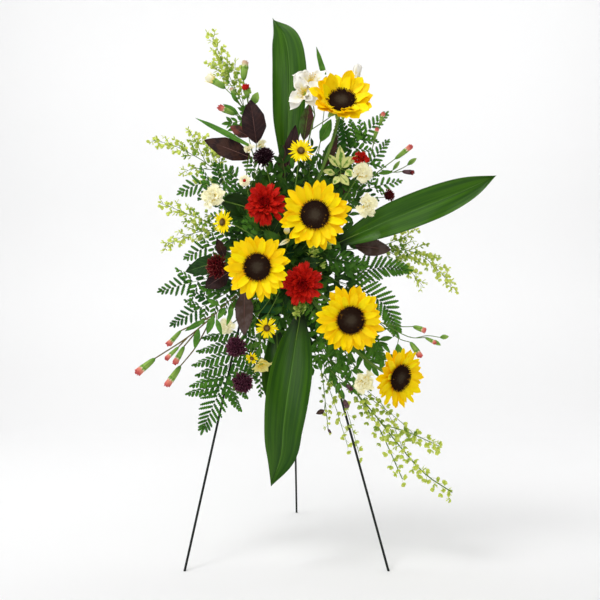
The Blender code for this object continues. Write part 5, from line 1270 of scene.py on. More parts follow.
def strap_leaf(name, root, stalk, spine, seed, wave=4, tone=0.0):
    """Long leaf with a sunk midrib and waved edges, on its stalk, in millimetres.

    A point of the spine has the width of the leaf as its fourth number.
    """
    phase = random.Random(seed).uniform(0, math.tau)
    form = Form()
    fine = smooth(metres(spine), STRAP_STEPS)
    middle = fine[:, :3]
    width = np.maximum(fine[:, 3], 0.0006)
    along = headings(middle)
    side = unit(np.cross(along, TOWARD_VIEWER))
    up = np.cross(side, along)
    t = np.linspace(-1, 1, 25)[None]
    row = (np.arange(len(fine)) / STRAP_STEPS)[:, None]
    wave = wave / 1000
    ripple = (wave * np.sin(phase + row * 1.3 + t * 2.0) * np.abs(t)
              + 0.25 * wave * np.sin(phase * 3 + row * 4.1 + t * 3.0) * np.abs(t) ** 3)
    lift = STRAP_CHANNEL * width[:, None] * t * t + ripple - 0.0009 * np.exp(-(t / 0.07) ** 2)
    grid = middle[:, None] + side[:, None] * (t * width[:, None] / 2)[..., None]
    grid = grid + up[:, None] * lift[..., None]
    marks = marks_of(grid.shape[:2], np.linspace(0, 1, len(fine))[:, None], (t + 1) / 2, tone)
    form.slabs(grid[None], marks[None], 0.0009, "strap_green")
    bottom, mouth, _ = foam_seat(*root)
    path = np.vstack([bottom, smooth([mouth, *metres(stalk), middle[0], middle[STRAP_STEPS]], 5)])
    form.tube(path, STRAP_STALK, "stem", 8)
    form.piece(name + "_blade", "aspidistra_green", name)


# Ferns

# Gap between the feathers of a branched rib, and the share of the rib that carries them
FEATHER_GAP = 0.029
BRANCHED_SHARE = 0.62


def fern(name, root, stalk, ribs, seed, branched=True, feathers=()):
    """Frond: a stalk, ribs that carry feathers, and single feathers, each with its points and reach."""
    frond = Spray(name, root, stalk, 1.6, "fern_green")
    for number, (points, reach) in enumerate(ribs):
        frond_rib(frond, points, reach, seed + number, branched)
    for points, reach in feathers:
        feather(frond.form, smooth(metres(points), 8), reach / 1000, frond.rng)
    frond.finish()


def frond_rib(frond, points, reach, seed, branched):
    """Rib of a frond, in millimetres, with toothed leaflets all along it or, branched, near its tip.

    Below those, a branched rib carries pairs of feathers.
    """
    rng = random.Random(seed)
    reach = reach / 1000
    path = frond.limb(points, 10)
    frond.form.tube(path, FROND_RIB, "stem", 6)
    if not branched:
        feather(frond.form, path, reach * 1.15, rng, 0.0135, "long toothed", 0.10)
        return
    count = round(measured(path)[-1] * BRANCHED_SHARE / FEATHER_GAP)
    shares = 0.10 + (BRANCHED_SHARE - 0.06) * (np.arange(count) + 0.5) / count
    for share, here, along in zip(shares, spread(path, shares), headings_at(path, shares)):
        side = unit(np.cross(along, TOWARD_VIEWER))
        for hand in (1, -1):
            lean = TOWARD_VIEWER * rng.uniform(-0.12, 0.12)
            way = unit(side * hand * rng.uniform(0.85, 1.0) + along * 0.5 + lean)
            long = reach * (1.12 - 0.5 * share) * rng.uniform(0.92, 1.08)
            t = np.linspace(0, 1, 7)[:, None]
            start = here + along * (0.2 * FEATHER_GAP * hand)
            feather(frond.form, start + (way * t + along * (0.15 * t * t)) * long,
                    min(0.0265, 0.46 * long), rng, shown=along)
    tip = path[round(BRANCHED_SHARE * (len(path) - 1)):]
    feather(frond.form, tip, reach * 0.68, rng, 0.0145, "long toothed", 0.0, 1.0, 0.60)


def feather(form, path, reach, rng, spacing=0.0132, teeth="toothed", first=0.04, taper=1.7, full=0.76,
            shown=None):
    """Rib with toothed leaflets by turns on both sides, shorter and closer toward its tip.

    spacing is the gap between leaflets, and first the share of the rib that is bare. A greater taper
    shortens them later, and full is how much of the gap they may fill. Where one side is the shown one,
    the leaflets on the other side are folded back.
    """
    form.tube(path, FEATHER_RIB, "fern_green", 4, 0.8)
    count = 2 * max(3, round(measured(path)[-1] * (0.98 - first) * 1.25 / spacing))
    even = (np.arange(count) + 0.4) / count
    share = first + (0.98 - first) * (1.0 - (1.0 - even) ** 1.25)
    hand = np.where(np.arange(count) % 2, 1.0, -1.0)[:, None]
    ahead = headings_at(path, share)
    side = unit(np.cross(ahead, TOWARD_VIEWER)) * hand
    up = np.broadcast_to(TOWARD_VIEWER, side.shape)
    if shown is not None:
        back = (side @ shown < 0)[:, None]
        side, up = (np.where(back, side * 0.35 - TOWARD_VIEWER * 0.94, side),
                    np.where(back, TOWARD_VIEWER * 0.35 + side * 0.94, up))
    out = unit(side * 0.86 + ahead * (0.5 + 0.45 * share[:, None] ** 2) + strays(rng, count, 0.07))
    long = np.minimum(1.0, 0.8 + share * 2.0) * (1.0 - 0.72 * share ** taper)
    length = reach * long * draws(rng, count, 0.92, 1.08)
    width = np.minimum(0.36 * length + 0.0032, spacing * full)
    tone = min(1.0, max(0.0, rng.gauss(0.5, 0.22)))
    rows = len(OUTLINES[teeth])
    chance = np.clip(tone + draws(rng, count, -0.15, 0.15), 0, 1)
    blades(form, "fern_green", spread(path, share), out, up, length, width, teeth,
           bend=draws(rng, count, -0.3, 0.2), fold=0.16, rows=rows, cols=3, thickness=0, chance=chance)
    end = ahead[-1]
    blades(form, "fern_green", path[-1] - end * 0.003, end, TOWARD_VIEWER, length[-1] * 1.2, width[-1],
           teeth, rows=rows, cols=3, thickness=0, chance=tone)


# Goldenrod and hanging bells

def bracts_at(form, spots, ways, size, rng, chance):
    """Little cupped heart-shaped bracts, in pairs that face each other."""
    count = len(spots)
    up = np.cross(ways, strays(rng, count, 1))
    for hand in (1.0, -1.0):
        blades(form, "goldenrod_bract", spots, ways, up * hand, size * draws(rng, count, 0.75, 1.2),
               size * 0.95, "round", start=draws(rng, count, 0.15, 0.55), bend=draws(rng, count, -0.3, 0.5),
               cup=0.35, notch=0.06, rows=5, cols=5, thickness=0, chance=chance)


def goldenrod(name, root, stalk, plumes, seed):
    """Arching plumes of little bracts on fine side twigs."""
    spray = Spray(name, root, stalk, 1.4, "goldenrod")
    for number, points in enumerate(plumes):
        plume(spray, points, seed + number)
    spray.finish()


def plume(spray, points, seed):
    rng = random.Random(seed)
    path = spray.limb(points, 10)
    spray.form.tube(path, PLUME_STEM, "stem", 6)
    length = measured(path)[-1]
    count = max(7, round(length / 0.0106))
    share = 0.10 + 0.88 * (np.arange(count) + 0.5) / count
    spots = spread(path, share)
    along = headings_at(path, share)
    turn = np.arange(count) * GOLDEN_ANGLE
    side = unit(np.cross(along, TOWARD_VIEWER))
    front = np.cross(side, along)
    out = unit(side * np.cos(turn)[:, None] - front * (np.sin(turn) * 0.6)[:, None] + along * 0.9)
    reach = length * 0.17 * (1.12 - 0.9 * share) * draws(rng, count, 0.7, 1.2) + 0.005
    for k in range(count):
        twig = spots[k] + out[k] * (np.linspace(0, 1, 5) * reach[k])[:, None]
        twig += along[k] * (np.linspace(0, 1, 5) ** 2 * reach[k] * 0.25)[:, None]
        spray.form.tube(twig, PLUME_TWIG, "stem", 4, rng.random())
        bract_twig(spray.form, twig, along[k], 0.15 + 0.8 * share[k], rng)


def bract_twig(form, twig, along, tone, rng, size=0.0106, gap=0.0070):
    """Pairs of bracts that alternate along a side twig, with one at its end."""
    count = max(2, round(measured(twig)[-1] / gap))
    share = (np.arange(count) + 1.0) / count
    spots = spread(twig, share)
    way = unit(twig[-1] - twig[0])
    side = np.cross(way, TOWARD_VIEWER) * np.where(np.arange(count) % 2, 1.0, -1.0)[:, None]
    away = unit(side * 0.8 + way * 0.8 + along * 0.3 + strays(rng, count, 0.5))
    tones = np.clip(tone + draws(rng, count, -0.2, 0.2), 0, 1)
    bracts_at(form, spots, away, size * (1.1 - 0.3 * share), rng, tones)


def hang_bells(spray, path, count, start, size, seed):
    """Bells of a size in millimetres along a twig, on its lower sides and toward the viewer by turns."""
    rng = random.Random(seed)
    size = size / 1000
    many = count * 4
    share = start + (0.985 - start) * np.arange(many) / (many - 1)
    spots = spread(path, share)
    along = headings_at(path, share)
    side = unit(np.cross(along, TOWARD_VIEWER))
    side = side * np.where(side[:, 2:3] > 0, -1.0, 1.0)
    step = np.arange(many)[:, None] % 3
    hand = np.where(step == 0, TOWARD_VIEWER, side * np.where(step == 1, 1.0, -0.8))
    way = unit(hand * 0.9 + along * 0.5 + np.array((0.0, 0.0, -0.35)) + strays(rng, many, 0.25))
    reach = size * draws(rng, many, 0.5, 1.9)
    ends = spots + way * reach[:, None] + np.array((0.0, 0.0, -0.2)) * size
    spray.form.rods(spots, ends, 0.0003, "goldenrod_bract", 0.3)
    tone = np.clip(0.15 + 0.6 * share + draws(rng, many, -0.2, 0.3), 0, 1)
    for _ in range(2):
        away = unit(way + strays(rng, many, 0.8))
        bracts_at(spray.form, ends, away, size * 1.08, rng, tone)


# Easel

# Rounding of a wire's end: how far before it, and the share of the radius there
WIRE_END = ((0.0016, 1.0), (0.0005, 0.86), (0.0, 0.5))


def on_line(foot, height):
    return lerp(np.array(foot), np.array(LEG_CROSSING), height / LEG_CROSSING[2])


def easel_wire(name, path, node, body="stand", standing=True):
    """Round painted wire, its start flat on the floor where it stands, and its far end rounded."""
    form = Form()
    path = np.asarray(path, float)
    way = unit(path[-1] - path[-2])
    ended = np.vstack([path[:-1], *(path[-1] - way * before for before, _ in WIRE_END)])
    shares = np.concatenate([np.ones(len(path) - 1), [share for _, share in WIRE_END]])
    form.tube(ended, EASEL_WIRE * shares, "green_wire", 16, level=standing)
    form.piece(name, "green_wire", node, body=body)


def build_easel():
    for side, foot in (("left", LEFT_FOOT), ("right", RIGHT_FOOT)):
        path = np.linspace(foot, on_line(foot, LEG_TOP), 12)
        easel_wire("front_leg_" + side + "_wire", path, "front_leg_" + side)
    for name, height in (("hinge_bar", HINGE_HEIGHT), ("lower_bar", LOWER_BAR_HEIGHT)):
        behind = np.array((0, 2 * EASEL_WIRE + GAP, 0)) * (1 if name == "hinge_bar" else -1)
        over = np.array((BAR_OVERHANG, 0, 0))
        ends = on_line(LEFT_FOOT, height) - over + behind, on_line(RIGHT_FOOT, height) + over + behind
        easel_wire(name + "_wire", np.linspace(*ends, 8), name, standing=False)


def build_back_leg():
    line = on_line(LEFT_FOOT, HINGE_HEIGHT)
    centre = np.array((HINGE_X, line[1] + 2 * EASEL_WIRE + GAP, HINGE_HEIGHT))
    eye = 2 * EASEL_WIRE + 2 * GAP
    down = unit(np.array(BACK_FOOT) - centre)
    turn = math.atan2(down[2], down[1])
    points = [np.array(BACK_FOOT)]
    points.extend(lerp(np.array(BACK_FOOT), centre, share) for share in (0.25, 0.5, 0.75, 0.93))
    for step in range(EYE_STEPS + 1):
        angle = turn + EYE_TURN * step / EYE_STEPS
        aside = -EYE_PITCH * step / EYE_STEPS
        points.append(centre + np.array((aside, eye * math.cos(angle), eye * math.sin(angle))))
    easel_wire("back_leg_wire", points, "back_leg", "back_leg")


# The plants where they stand, in millimetres: seat in the foam, places, facing, sizes and seed

# Filling of leaves: sprigs round its middle, from FILL_START to FILL_REACH away, whose ends stand as
# deep as FILL_DEPTH in the middle and at the rim, sprigs above and below them, twigs of bracts, and
# short fronds, branched where their reach is more than BRANCHED_REACH
FILL_SPRIGS = 84
FILL_CENTRE = np.array((-22, 48, 705))
FILL_START = (45, 0, 90)
FILL_REACH = (150, 0, 195)
FILL_DEPTH = (22, 75)
UPPER_SPRIGS = ((-62, 905), (-40, 930), (-16, 905), (10, 915), (26, 955), (44, 900), (60, 935), (78, 885),
                (98, 905), (110, 860), (128, 840), (112, 800), (-100, 880), (-122, 845), (-140, 800),
                (-84, 925), (-150, 745), (0, 870))
LOWER_SPRIGS = ((45, 470), (75, 440), (100, 460), (122, 430), (146, 470), (95, 400), (60, 500), (130, 500),
                (158, 520), (78, 500), (110, 490), (-90, 500), (172, 490), (196, 465), (188, 505),
                (166, 455))
BRACT_TWIGS = (((-2, 20, 604), (-8, -8, 570)), ((4, 22, 604), (6, -6, 580)), ((18, 24, 704), (30, -2, 724)),
               ((50, 24, 714), (70, -2, 732)), ((40, 24, 700), (53, -2, 684)),
               ((30, 24, 690), (36, -2, 712)))
BRANCHED_REACH = 40
FILL_FRONDS = (([(-40, 52, 790), (-62, 60, 850), (-90, 64, 900)], 36),
               ([(-10, 52, 790), (0, 66, 860), (28, 74, 930)], 36),
               ([(20, 52, 770), (50, 66, 830), (98, 74, 870)], 36),
               ([(-70, 52, 750), (-120, 58, 790), (-170, 62, 800)], 36),
               ([(20, 52, 690), (80, 56, 700), (150, 64, 685)], 38),
               ([(0, 52, 620), (45, 50, 570), (75, 56, 510)], 34),
               ([(-70, 52, 640), (-100, 58, 600), (-115, 62, 540)], 34),
               ([(-70, 52, 690), (-130, 58, 690), (-180, 62, 670)], 38),
               ([(-80, 56, 800), (-130, 70, 870), (-190, 78, 918)], 45),
               ([(-60, 56, 810), (-95, 70, 890), (-130, 80, 940)], 42),
               ([(-90, 56, 790), (-150, 66, 835), (-222, 72, 875)], 50),
               ([(-90, 56, 780), (-140, 66, 790), (-205, 72, 800)], 45))


def build_sunflowers():
    sunflower("top", ("front", 4, 785), (90, -30, 1039), (0.05, -0.86, 0.5), 75, 21, petals=12, cup=0.7,
              rise=0.24, broad=1.45, disc=1.12)
    sunflower("centre", ("front", -13, 725), (32, -60, 788), (0.0, -1.0, 0.05), 76, 22,
              disc=1.07)
    sunflower("left", ("front", -46, 685), (-91, -60, 676), (-0.12, -1.0, 0.0), 73, 23)
    sunflower("right", ("front", 8, 650), (109, -50, 562), (0.1, -1.0, -0.12), 74, 24,
              disc=1.04)
    sunflower("low", ("front", 16, 622), (216, -20, 435), (0.62, -0.76, -0.18), 70, 25, petals=15, cup=0.45,
              over=0.5)


def build_mums():
    for node, root, at, facing, seed in (
            ("mum_left", ("front", -43, 740), (-78, -10, 820), (-0.1, -1.0, 0.15), 31),
            ("mum_low", ("front", -21, 668), (4, -10, 641), (0.0, -1.0, -0.05), 32)):
        single_head(node, "deep_red", root, at, facing, 8, 2.5, mum_end, seed)


def build_carnations():
    for node, root, at, facing, size, seed in (
            ("carnation_low", ("front", 18, 590), (143, 0, 422), (0.1, -0.95, -0.3), 45, 44),
            ("carnation_green", ("front", -72, 640), (-166, 30, 546), (-0.3, -0.9, -0.1), 36, 45)):
        single_head(node, "cream", root, at, facing, 0.40 * size, 1.6, carnation_end, size, 12, seed)

    right = Spray("carnations_right", ("front", 19, 748), [(45, 36, 772), (85, 30, 810)], 1.6, "cream")
    right.bloom(carnation_end, (149, -10, 814), (0.3, -0.95, 0.0), [(85, 30, 810), (118, 26, 812)], 20, 47,
                12, 42)
    right.bloom(carnation_end, (136, 0, 889), (0.3, -0.9, 0.3), [(80, 30, 805), (110, 32, 850)], 19, 44, 12,
                43)
    right.finish()

    left = Spray("carnations_left", ("front", -62, 755), [(-90, 36, 790), (-120, 36, 850)], 1.6, "cream")
    left.bloom(carnation_end, (-193, -10, 836), (-0.35, -0.9, 0.2), [(-100, 36, 810), (-150, 30, 824)], 21,
               50, 12, 41)
    left.bloom(button_end, (-124, 12, 872), (-0.1, -0.95, 0.1), [(-116, 36, 842)], 6, 14, 141)
    left.bloom(carnation_end, (-116, 20, 946), (-0.2, -0.8, 0.6), [(-120, 36, 848), (-121, 28, 895)], 10,
               24, 8, 142)
    left.bloom(carnation_end, (-88, 54, 962), (0.1, -0.8, 0.6), [(-120, 36, 850), (-95, 34, 905)], 10, 24,
               8, 143)
    left.finish()


def build_daisies():
    for node, root, at, facing, radius, seed in (
            ("daisy_upper", ("front", -20, 779), (2, -10, 936), (0.1, -0.95, 0.25), 31, 61),
            ("daisy_left", ("front", -70, 719), (-170, -20, 777), (-0.65, -0.75, 0.0), 30, 62)):
        single_head(node, "daisy_yellow", root, at, facing, 0.06 * radius, 1.5, daisy_end, radius, 12,
                    0.05, seed)

    low = Spray("daisy_low_spray", ("front", -42, 636), [(-58, 34, 600), (-76, 16, 566)], 1.5,
                "daisy_yellow")
    low.bloom(daisy_end, (-73, -20, 543), (0.0, -0.95, -0.1), [(-72, 19, 574), (-73, 4, 552)], 8, 27, 12,
              0.05, 63)
    low.bloom(daisy_end, (-107, 0, 475), (-0.3, -0.8, -0.3), [(-76, 16, 566), (-96, 20, 520)], 6, 17, 8,
              0.1, 64)
    low.bloom(trumpet_end, (-88, 10, 462), (0.25, -0.75, -0.6), [(-92, 20, 530), (-89, 20, 490)], 10, 24,
              17, 65, "lemon_petal")
    low.finish()


def build_lilies():
    lily = Spray("alstroemeria", ("top", -10, 124), [(4, 114, 900), (22, 80, 985), (34, 50, 1030)], 1.8,
                 "white_petal")
    lily.bloom(trumpet_end, (24, 14, 1094), (0.15, -0.85, 0.45), [(34, 50, 1030), (28, 42, 1064)], 18, 44,
               26, 131)
    lily.bloom(trumpet_end, (10, 6, 1068), (-0.35, -0.9, -0.1), [(34, 50, 1030), (24, 36, 1048)], 18, 44,
               26, 133)
    lily.bud([(27, 72, 1000), (75, 68, 1034), (117, 58, 1083)], (135, 50, 1144), 12.5, "white_petal",
             "white_petal", open=0.1)
    lily.finish()


def build_strap_leaves():
    strap_leaf("leaf_top", ("top", -30, 115), [(-30, 118, 840)],
               [(-36, 122, 890, 16), (-33, 126, 950, 34), (-28, 130, 1030, 70), (-26, 130, 1100, 79),
                (-26, 130, 1170, 80), (-36, 137, 1235, 62), (-65, 150, 1285, 0)], 3, tone=0.12)
    strap_leaf("leaf_right", ("right", 100, 700), [(55, 85, 712)],
               [(85, 60, 735, 14), (135, 40, 757, 46), (195, 22, 783, 70), (260, 10, 808, 76),
                (325, 4, 833, 70), (385, 0, 858, 46), (436, -2, 882, 0)], 5, wave=6)
    strap_leaf("leaf_bottom_front", ("front", -15, 610), [(-3, 30, 598)],
               [(0, 22, 570, 20), (-9, 0, 515, 64), (-18, -20, 455, 90), (-28, -33, 390, 94),
                (-36, -36, 325, 84), (-42, -32, 262, 64), (-64, -22, 196, 0)], 7, tone=0.28)
    strap_leaf("leaf_bottom_back", ("bottom", -60, 75), [(-58, 70, 556)],
               [(-54, 66, 530, 18), (-52, 58, 480, 58), (-50, 50, 430, 74), (-47, 46, 385, 60),
                (-43, 46, 335, 0)], 9, tone=0.4)
    strap_leaf("leaf_left_dark", ("left", 100, 765), [(-105, 80, 785)],
               [(-118, 65, 800, 16), (-138, 45, 818, 48), (-160, 36, 826, 44), (-180, 32, 826, 0)], 11,
               tone=0.75)


def build_ferns():
    fern("fern_upper_right", ("right", 122, 785), [(55, 126, 815), (82, 128, 860)],
         [([(82, 128, 860), (95, 130, 930), (143, 130, 990), (205, 128, 1050)], 50),
          ([(80, 128, 857), (120, 134, 890), (165, 134, 930), (210, 130, 985)], 42),
          ([(76, 127, 850), (130, 120, 860), (180, 112, 874), (236, 105, 886)], 38)], 71,
         feathers=(([(82, 118, 900), (90, 110, 955), (92, 106, 1030)], 29),
                   ([(121, 126, 957), (112, 124, 985), (101, 120, 1030)], 21),
                   ([(141, 128, 974), (130, 126, 995), (120, 120, 1032)], 20),
                   ([(155, 128, 988), (148, 126, 1005), (142, 120, 1032)], 17)))
    fern("fern_right", ("right", 122, 665), [(60, 120, 660), (90, 115, 650)],
         [([(88, 115, 651), (140, 108, 672), (200, 100, 682), (252, 96, 676)], 40),
          ([(90, 115, 650), (150, 95, 625), (200, 80, 590), (224, 70, 530)], 45),
          ([(84, 116, 652), (116, 112, 590), (152, 108, 530), (192, 104, 462)], 45)], 74, branched=False)
    fern("fern_left_upper", ("left", 122, 755), [(-112, 120, 770), (-125, 114, 810)],
         [([(-125, 114, 810), (-170, 102, 862), (-230, 94, 878), (-280, 90, 856)], 52),
          ([(-112, 120, 770), (-165, 110, 748), (-225, 104, 728), (-269, 102, 704)], 45)], 77)
    fern("fern_left_low", ("left", 122, 665), [(-115, 115, 662), (-130, 110, 655)],
         [([(-128, 110, 656), (-190, 98, 660), (-260, 90, 645), (-325, 86, 626)], 52),
          ([(-130, 110, 655), (-175, 95, 620), (-235, 82, 585), (-296, 75, 548)], 48)], 81)
    fern("fern_bottom", ("left", 110, 600), [(-108, 111, 590), (-118, 112, 570)],
         [([(-118, 112, 570), (-152, 109, 500), (-178, 90, 420), (-223, 62, 308)], 85),
          ([(-114, 111, 578), (-106, 112, 510), (-96, 104, 450), (-92, 94, 382)], 38)], 84)


def build_goldenrod():
    goldenrod("goldenrod_upper_left", ("top", -72, 115),
              [(-78, 112, 860), (-92, 108, 950), (-112, 105, 1015), (-148, 104, 1092)],
              [[(-148, 104, 1092), (-165, 104, 1130), (-188, 103, 1180), (-212, 102, 1236)],
               [(-148, 104, 1092), (-180, 108, 1135), (-214, 112, 1170)],
               [(-130, 105, 1060), (-142, 112, 1110), (-156, 118, 1168)]], 91)
    goldenrod("goldenrod_left", ("left", 130, 780),
              [(-120, 128, 812), (-165, 124, 870), (-205, 120, 915), (-230, 119, 936)],
              [[(-230, 119, 936), (-262, 118, 954), (-305, 116, 974), (-352, 114, 985)],
               [(-224, 119, 931), (-245, 122, 975), (-264, 124, 1010)],
               [(-190, 121, 900), (-210, 126, 955), (-234, 128, 999)],
               [(-205, 120, 915), (-250, 120, 918), (-282, 122, 908)],
               [(-165, 124, 870), (-200, 118, 886), (-244, 116, 890)],
               [(-175, 122, 880), (-186, 116, 920), (-200, 112, 960)]], 94)
    goldenrod("goldenrod_left_low", ("left", 106, 742), [(-125, 98, 750), (-160, 84, 765), (-185, 74, 775)],
              [[(-185, 74, 775), (-230, 66, 792), (-280, 62, 812), (-323, 60, 829)],
               [(-170, 80, 769), (-225, 72, 765), (-275, 70, 750), (-316, 68, 727)]], 97)
    goldenrod("goldenrod_right", ("right", 128, 712), [(80, 140, 722), (130, 146, 728), (200, 146, 735)],
              [[(200, 146, 735), (250, 146, 728), (310, 144, 700), (374, 142, 630)],
               [(196, 146, 735), (240, 150, 752), (281, 152, 777)],
               [(188, 146, 734), (235, 150, 710), (270, 151, 672), (298, 152, 638)]], 100)


# Thinner strands and leafy sprigs beside the hanging bells
THIN_STRANDS = (((60, 72, 480), (80, 80, 410), (110, 84, 345), (138, 86, 246)),
                ((50, 76, 495), (62, 84, 420), (88, 88, 340), (112, 90, 262)),
                ((115, 60, 409), (170, 66, 372), (225, 70, 330), (262, 72, 296)),
                ((88, 62, 452), (150, 70, 400), (200, 74, 350), (238, 78, 262)))
BELL_SPRIGS = (((30, 88, 530), (46, 60, 468)), ((45, 80, 505), (90, 56, 470)),
               ((60, 72, 480), (76, 50, 424)), ((75, 67, 466), (128, 56, 446)),
               ((88, 62, 452), (120, 44, 404)), ((30, 88, 530), (92, 70, 520)),
               ((40, 82, 515), (30, 66, 450)), ((50, 78, 500), (112, 66, 494)))


def build_bells():
    right = Spray("bells_right", ("bottom", 16, 100), [(30, 88, 530), (60, 72, 480), (88, 62, 452)], 1.4,
                  "bell_green")
    main = right.branch([(88, 62, 452), (115, 60, 409), (172, 55, 341), (230, 52, 268), (287, 50, 206),
                         (349, 48, 164)], 1.7)
    upper = right.branch([(190, 54, 318), (250, 58, 300), (321, 58, 268)], 1.3)
    lower = right.branch([(75, 67, 466), (130, 78, 390), (186, 82, 303), (239, 80, 187)], 1.5)
    hang_bells(right, main, 11, 0.22, 9.6, 111)
    hang_bells(right, upper, 5, 0.25, 9.6, 112)
    hang_bells(right, lower, 7, 0.2, 9.2, 113)
    for number, points in enumerate(THIN_STRANDS):
        strand = right.branch(points, 0.8)
        hang_bells(right, strand, 4, 0.2, 8.8, 115 + number)
    for start, end in BELL_SPRIGS:
        right.sprig(start, end, 20, 9, 3, "green_leaf")
    right.finish()

    dark = Spray("bells_dark", ("bottom", -4, 90), [(10, 80, 530), (40, 60, 470), (52, 55, 430)], 1.3,
                 "burgundy_leaf", "burgundy_leaf")
    tail = dark.branch([(52, 55, 430), (58, 52, 370), (65, 50, 305)], 1)
    hang_bells(dark, tail, 3, 0.05, 6.5, 114)
    dark.bud([(40, 60, 470), (85, 48, 430), (106, 38, 412)], (118, 30, 401), 6.4, "plum_floret",
             "mauve_bract")
    dark.bud([(50, 56, 436), (85, 40, 400), (100, 34, 378)], (108, 29, 361), 7, "mauve_bract",
             "mauve_bract")
    dark.leaf([(58, 52, 370), (56, 50, 352)], (36, 46, 344), 12, tone=0.95)
    dark.leaf([(64, 50, 312), (64, 50, 309)], (72, 48, 298), 6, tone=0.95)
    dark.finish()


def build_bud_sprays():
    low = Spray("buds_low_left", ("left", 98, 640), [(-120, 80, 632), (-160, 55, 605), (-205, 36, 562)],
                1.5, "bud_coral", paint="brown_stem")
    low.twig_radius = 1.9
    low.bud([(-205, 36, 562), (-255, 22, 520), (-325, 4, 474)], (-364, -4, 442), 10)
    low.bud([(-230, 30, 542), (-262, 20, 500)], (-282, 12, 462), 8)
    low.bud([(-255, 22, 520), (-272, 6, 500)], (-298, -10, 474), 6)
    low.bud([(-200, 38, 566), (-236, 36, 500), (-270, 20, 456)], (-300, 10, 412), 9.5)
    low.bud([(-195, 40, 570), (-272, 42, 535)], (-302, 38, 502), 7)
    low.leaf([(-180, 46, 585), (-184, 46, 592)], (-215, 50, 608), 12)
    low.leaf([(-190, 42, 576), (-196, 30, 570)], (-210, 22, 527), 17, tone=0.9)
    low.leaf([(-226, 31, 545), (-229, 24, 540)], (-238, 20, 494), 15, tone=0.8)
    low.leaf([(-175, 49, 592), (-172, 40, 588)], (-186, 16, 560), 14, tone=0.9)
    low.leaf([(-150, 60, 610), (-150, 40, 600)], (-162, 14, 572), 13, tone=0.8)
    low.leaf([(-205, 36, 562), (-215, 34, 560)], (-262, 32, 534), 13, tone=0.6)
    low.leaf([(-160, 55, 605), (-150, 10, 588)], (-164, -4, 547), 11, tone=0.6)
    low.leaf([(-190, 42, 576), (-188, 12, 562)], (-174, -2, 526), 12, tone=0.8)
    low.finish()

    upper = Spray("buds_upper_left", ("top", -55, 102), [(-66, 98, 860), (-85, 88, 940), (-116, 72, 1030)],
                  1.5, "bud_coral")
    upper.bud([(-116, 72, 1030), (-124, 70, 1080), (-131, 67, 1114)], (-126, 62, 1159), 10.8, "pale_bud",
              open=0.0)
    upper.bud([(-119, 71, 1055), (-120, 60, 1072)], (-126, 46, 1096), 9.2, "red_petal", open=0.5)
    upper.bud([(-112, 74, 1022), (-150, 72, 1072), (-174, 72, 1097)], (-213, 70, 1122), 10, "cream_petal",
              open=0.5)
    upper.bud([(-135, 73, 1050), (-150, 71, 1078)], (-160, 66, 1096), 5.8, "pale_bud")
    upper.bud([(-108, 76, 1010), (-135, 62, 1026), (-150, 56, 1032)], (-186, 40, 1046), 8.5)
    upper.leaf([(-140, 73, 1057), (-144, 70, 1062)], (-160, 64, 1086), 10)
    upper.leaf([(-114, 73, 1026), (-109, 70, 1058)], (-97, 62, 1086), 19, paint="calyx")
    for start, end in (((-120, 70, 1020), (-160, 62, 1014)), ((-116, 70, 1012), (-150, 60, 1000)),
                       ((-113, 70, 1024), (-128, 60, 1042))):
        upper.sprig(start, end, 20, 9, 3, "green_leaf")
    upper.leaf([(-135, 62, 1026), (-142, 66, 1034)], (-178, 64, 1058), 14)
    upper.finish()

    right = Spray("buds_upper_right", ("right", 100, 768), [(75, 90, 800), (110, 76, 840), (150, 62, 876)],
                  1.5, "bud_coral")
    right.bud([(150, 62, 876), (185, 52, 904), (218, 44, 928)], (254, 38, 956), 7.5)
    right.bud([(185, 52, 904), (215, 48, 898), (234, 44, 899)], (260, 40, 896), 7, "oxblood_floret",
              "mauve_bract")
    right.bud([(146, 64, 872), (164, 60, 940), (171, 58, 976)], (178, 50, 1000), 6)
    right.bud([(168, 59, 960), (184, 60, 1008)], (192, 54, 1036), 6)
    right.leaf([(215, 48, 898), (236, 48, 908), (246, 49, 914)], (268, 50, 931), 11, paint="calyx")
    right.leaf([(205, 49, 900), (213, 50, 903)], (230, 50, 925), 9, paint="calyx")
    right.leaf([(172, 56, 893), (180, 54, 896)], (215, 50, 899), 11)
    right.bloom(carnation_end, (138, 30, 927), (0.2, -0.8, 0.5), [(138, 67, 865), (143, 54, 895)], 14, 34,
                10, 121, "red_petal")
    right.finish()

    side = Spray("buds_right", ("right", 102, 625), [(80, 80, 600), (130, 55, 575), (190, 36, 552)], 1.5,
                 "stem_green")
    side.bud([(190, 36, 552), (225, 28, 545), (256, 22, 545)], (283, 16, 536), 7.8)
    side.bud([(184, 38, 554), (245, 26, 522), (283, 21, 520)], (306, 16, 508), 5.6)
    side.leaf([(262, 24, 521), (290, 30, 524), (318, 32, 520)], (339, 32, 522), 11, paint="calyx")
    side.leaf([(283, 21, 520), (298, 22, 514)], (319, 22, 502), 10, paint="calyx")
    side.bud([(178, 40, 557), (220, 22, 520), (248, 10, 510)], (270, 2, 478), 8.5)
    side.leaf([(220, 22, 512), (220, 16, 506)], (224, 4, 474), 16)
    side.finish()


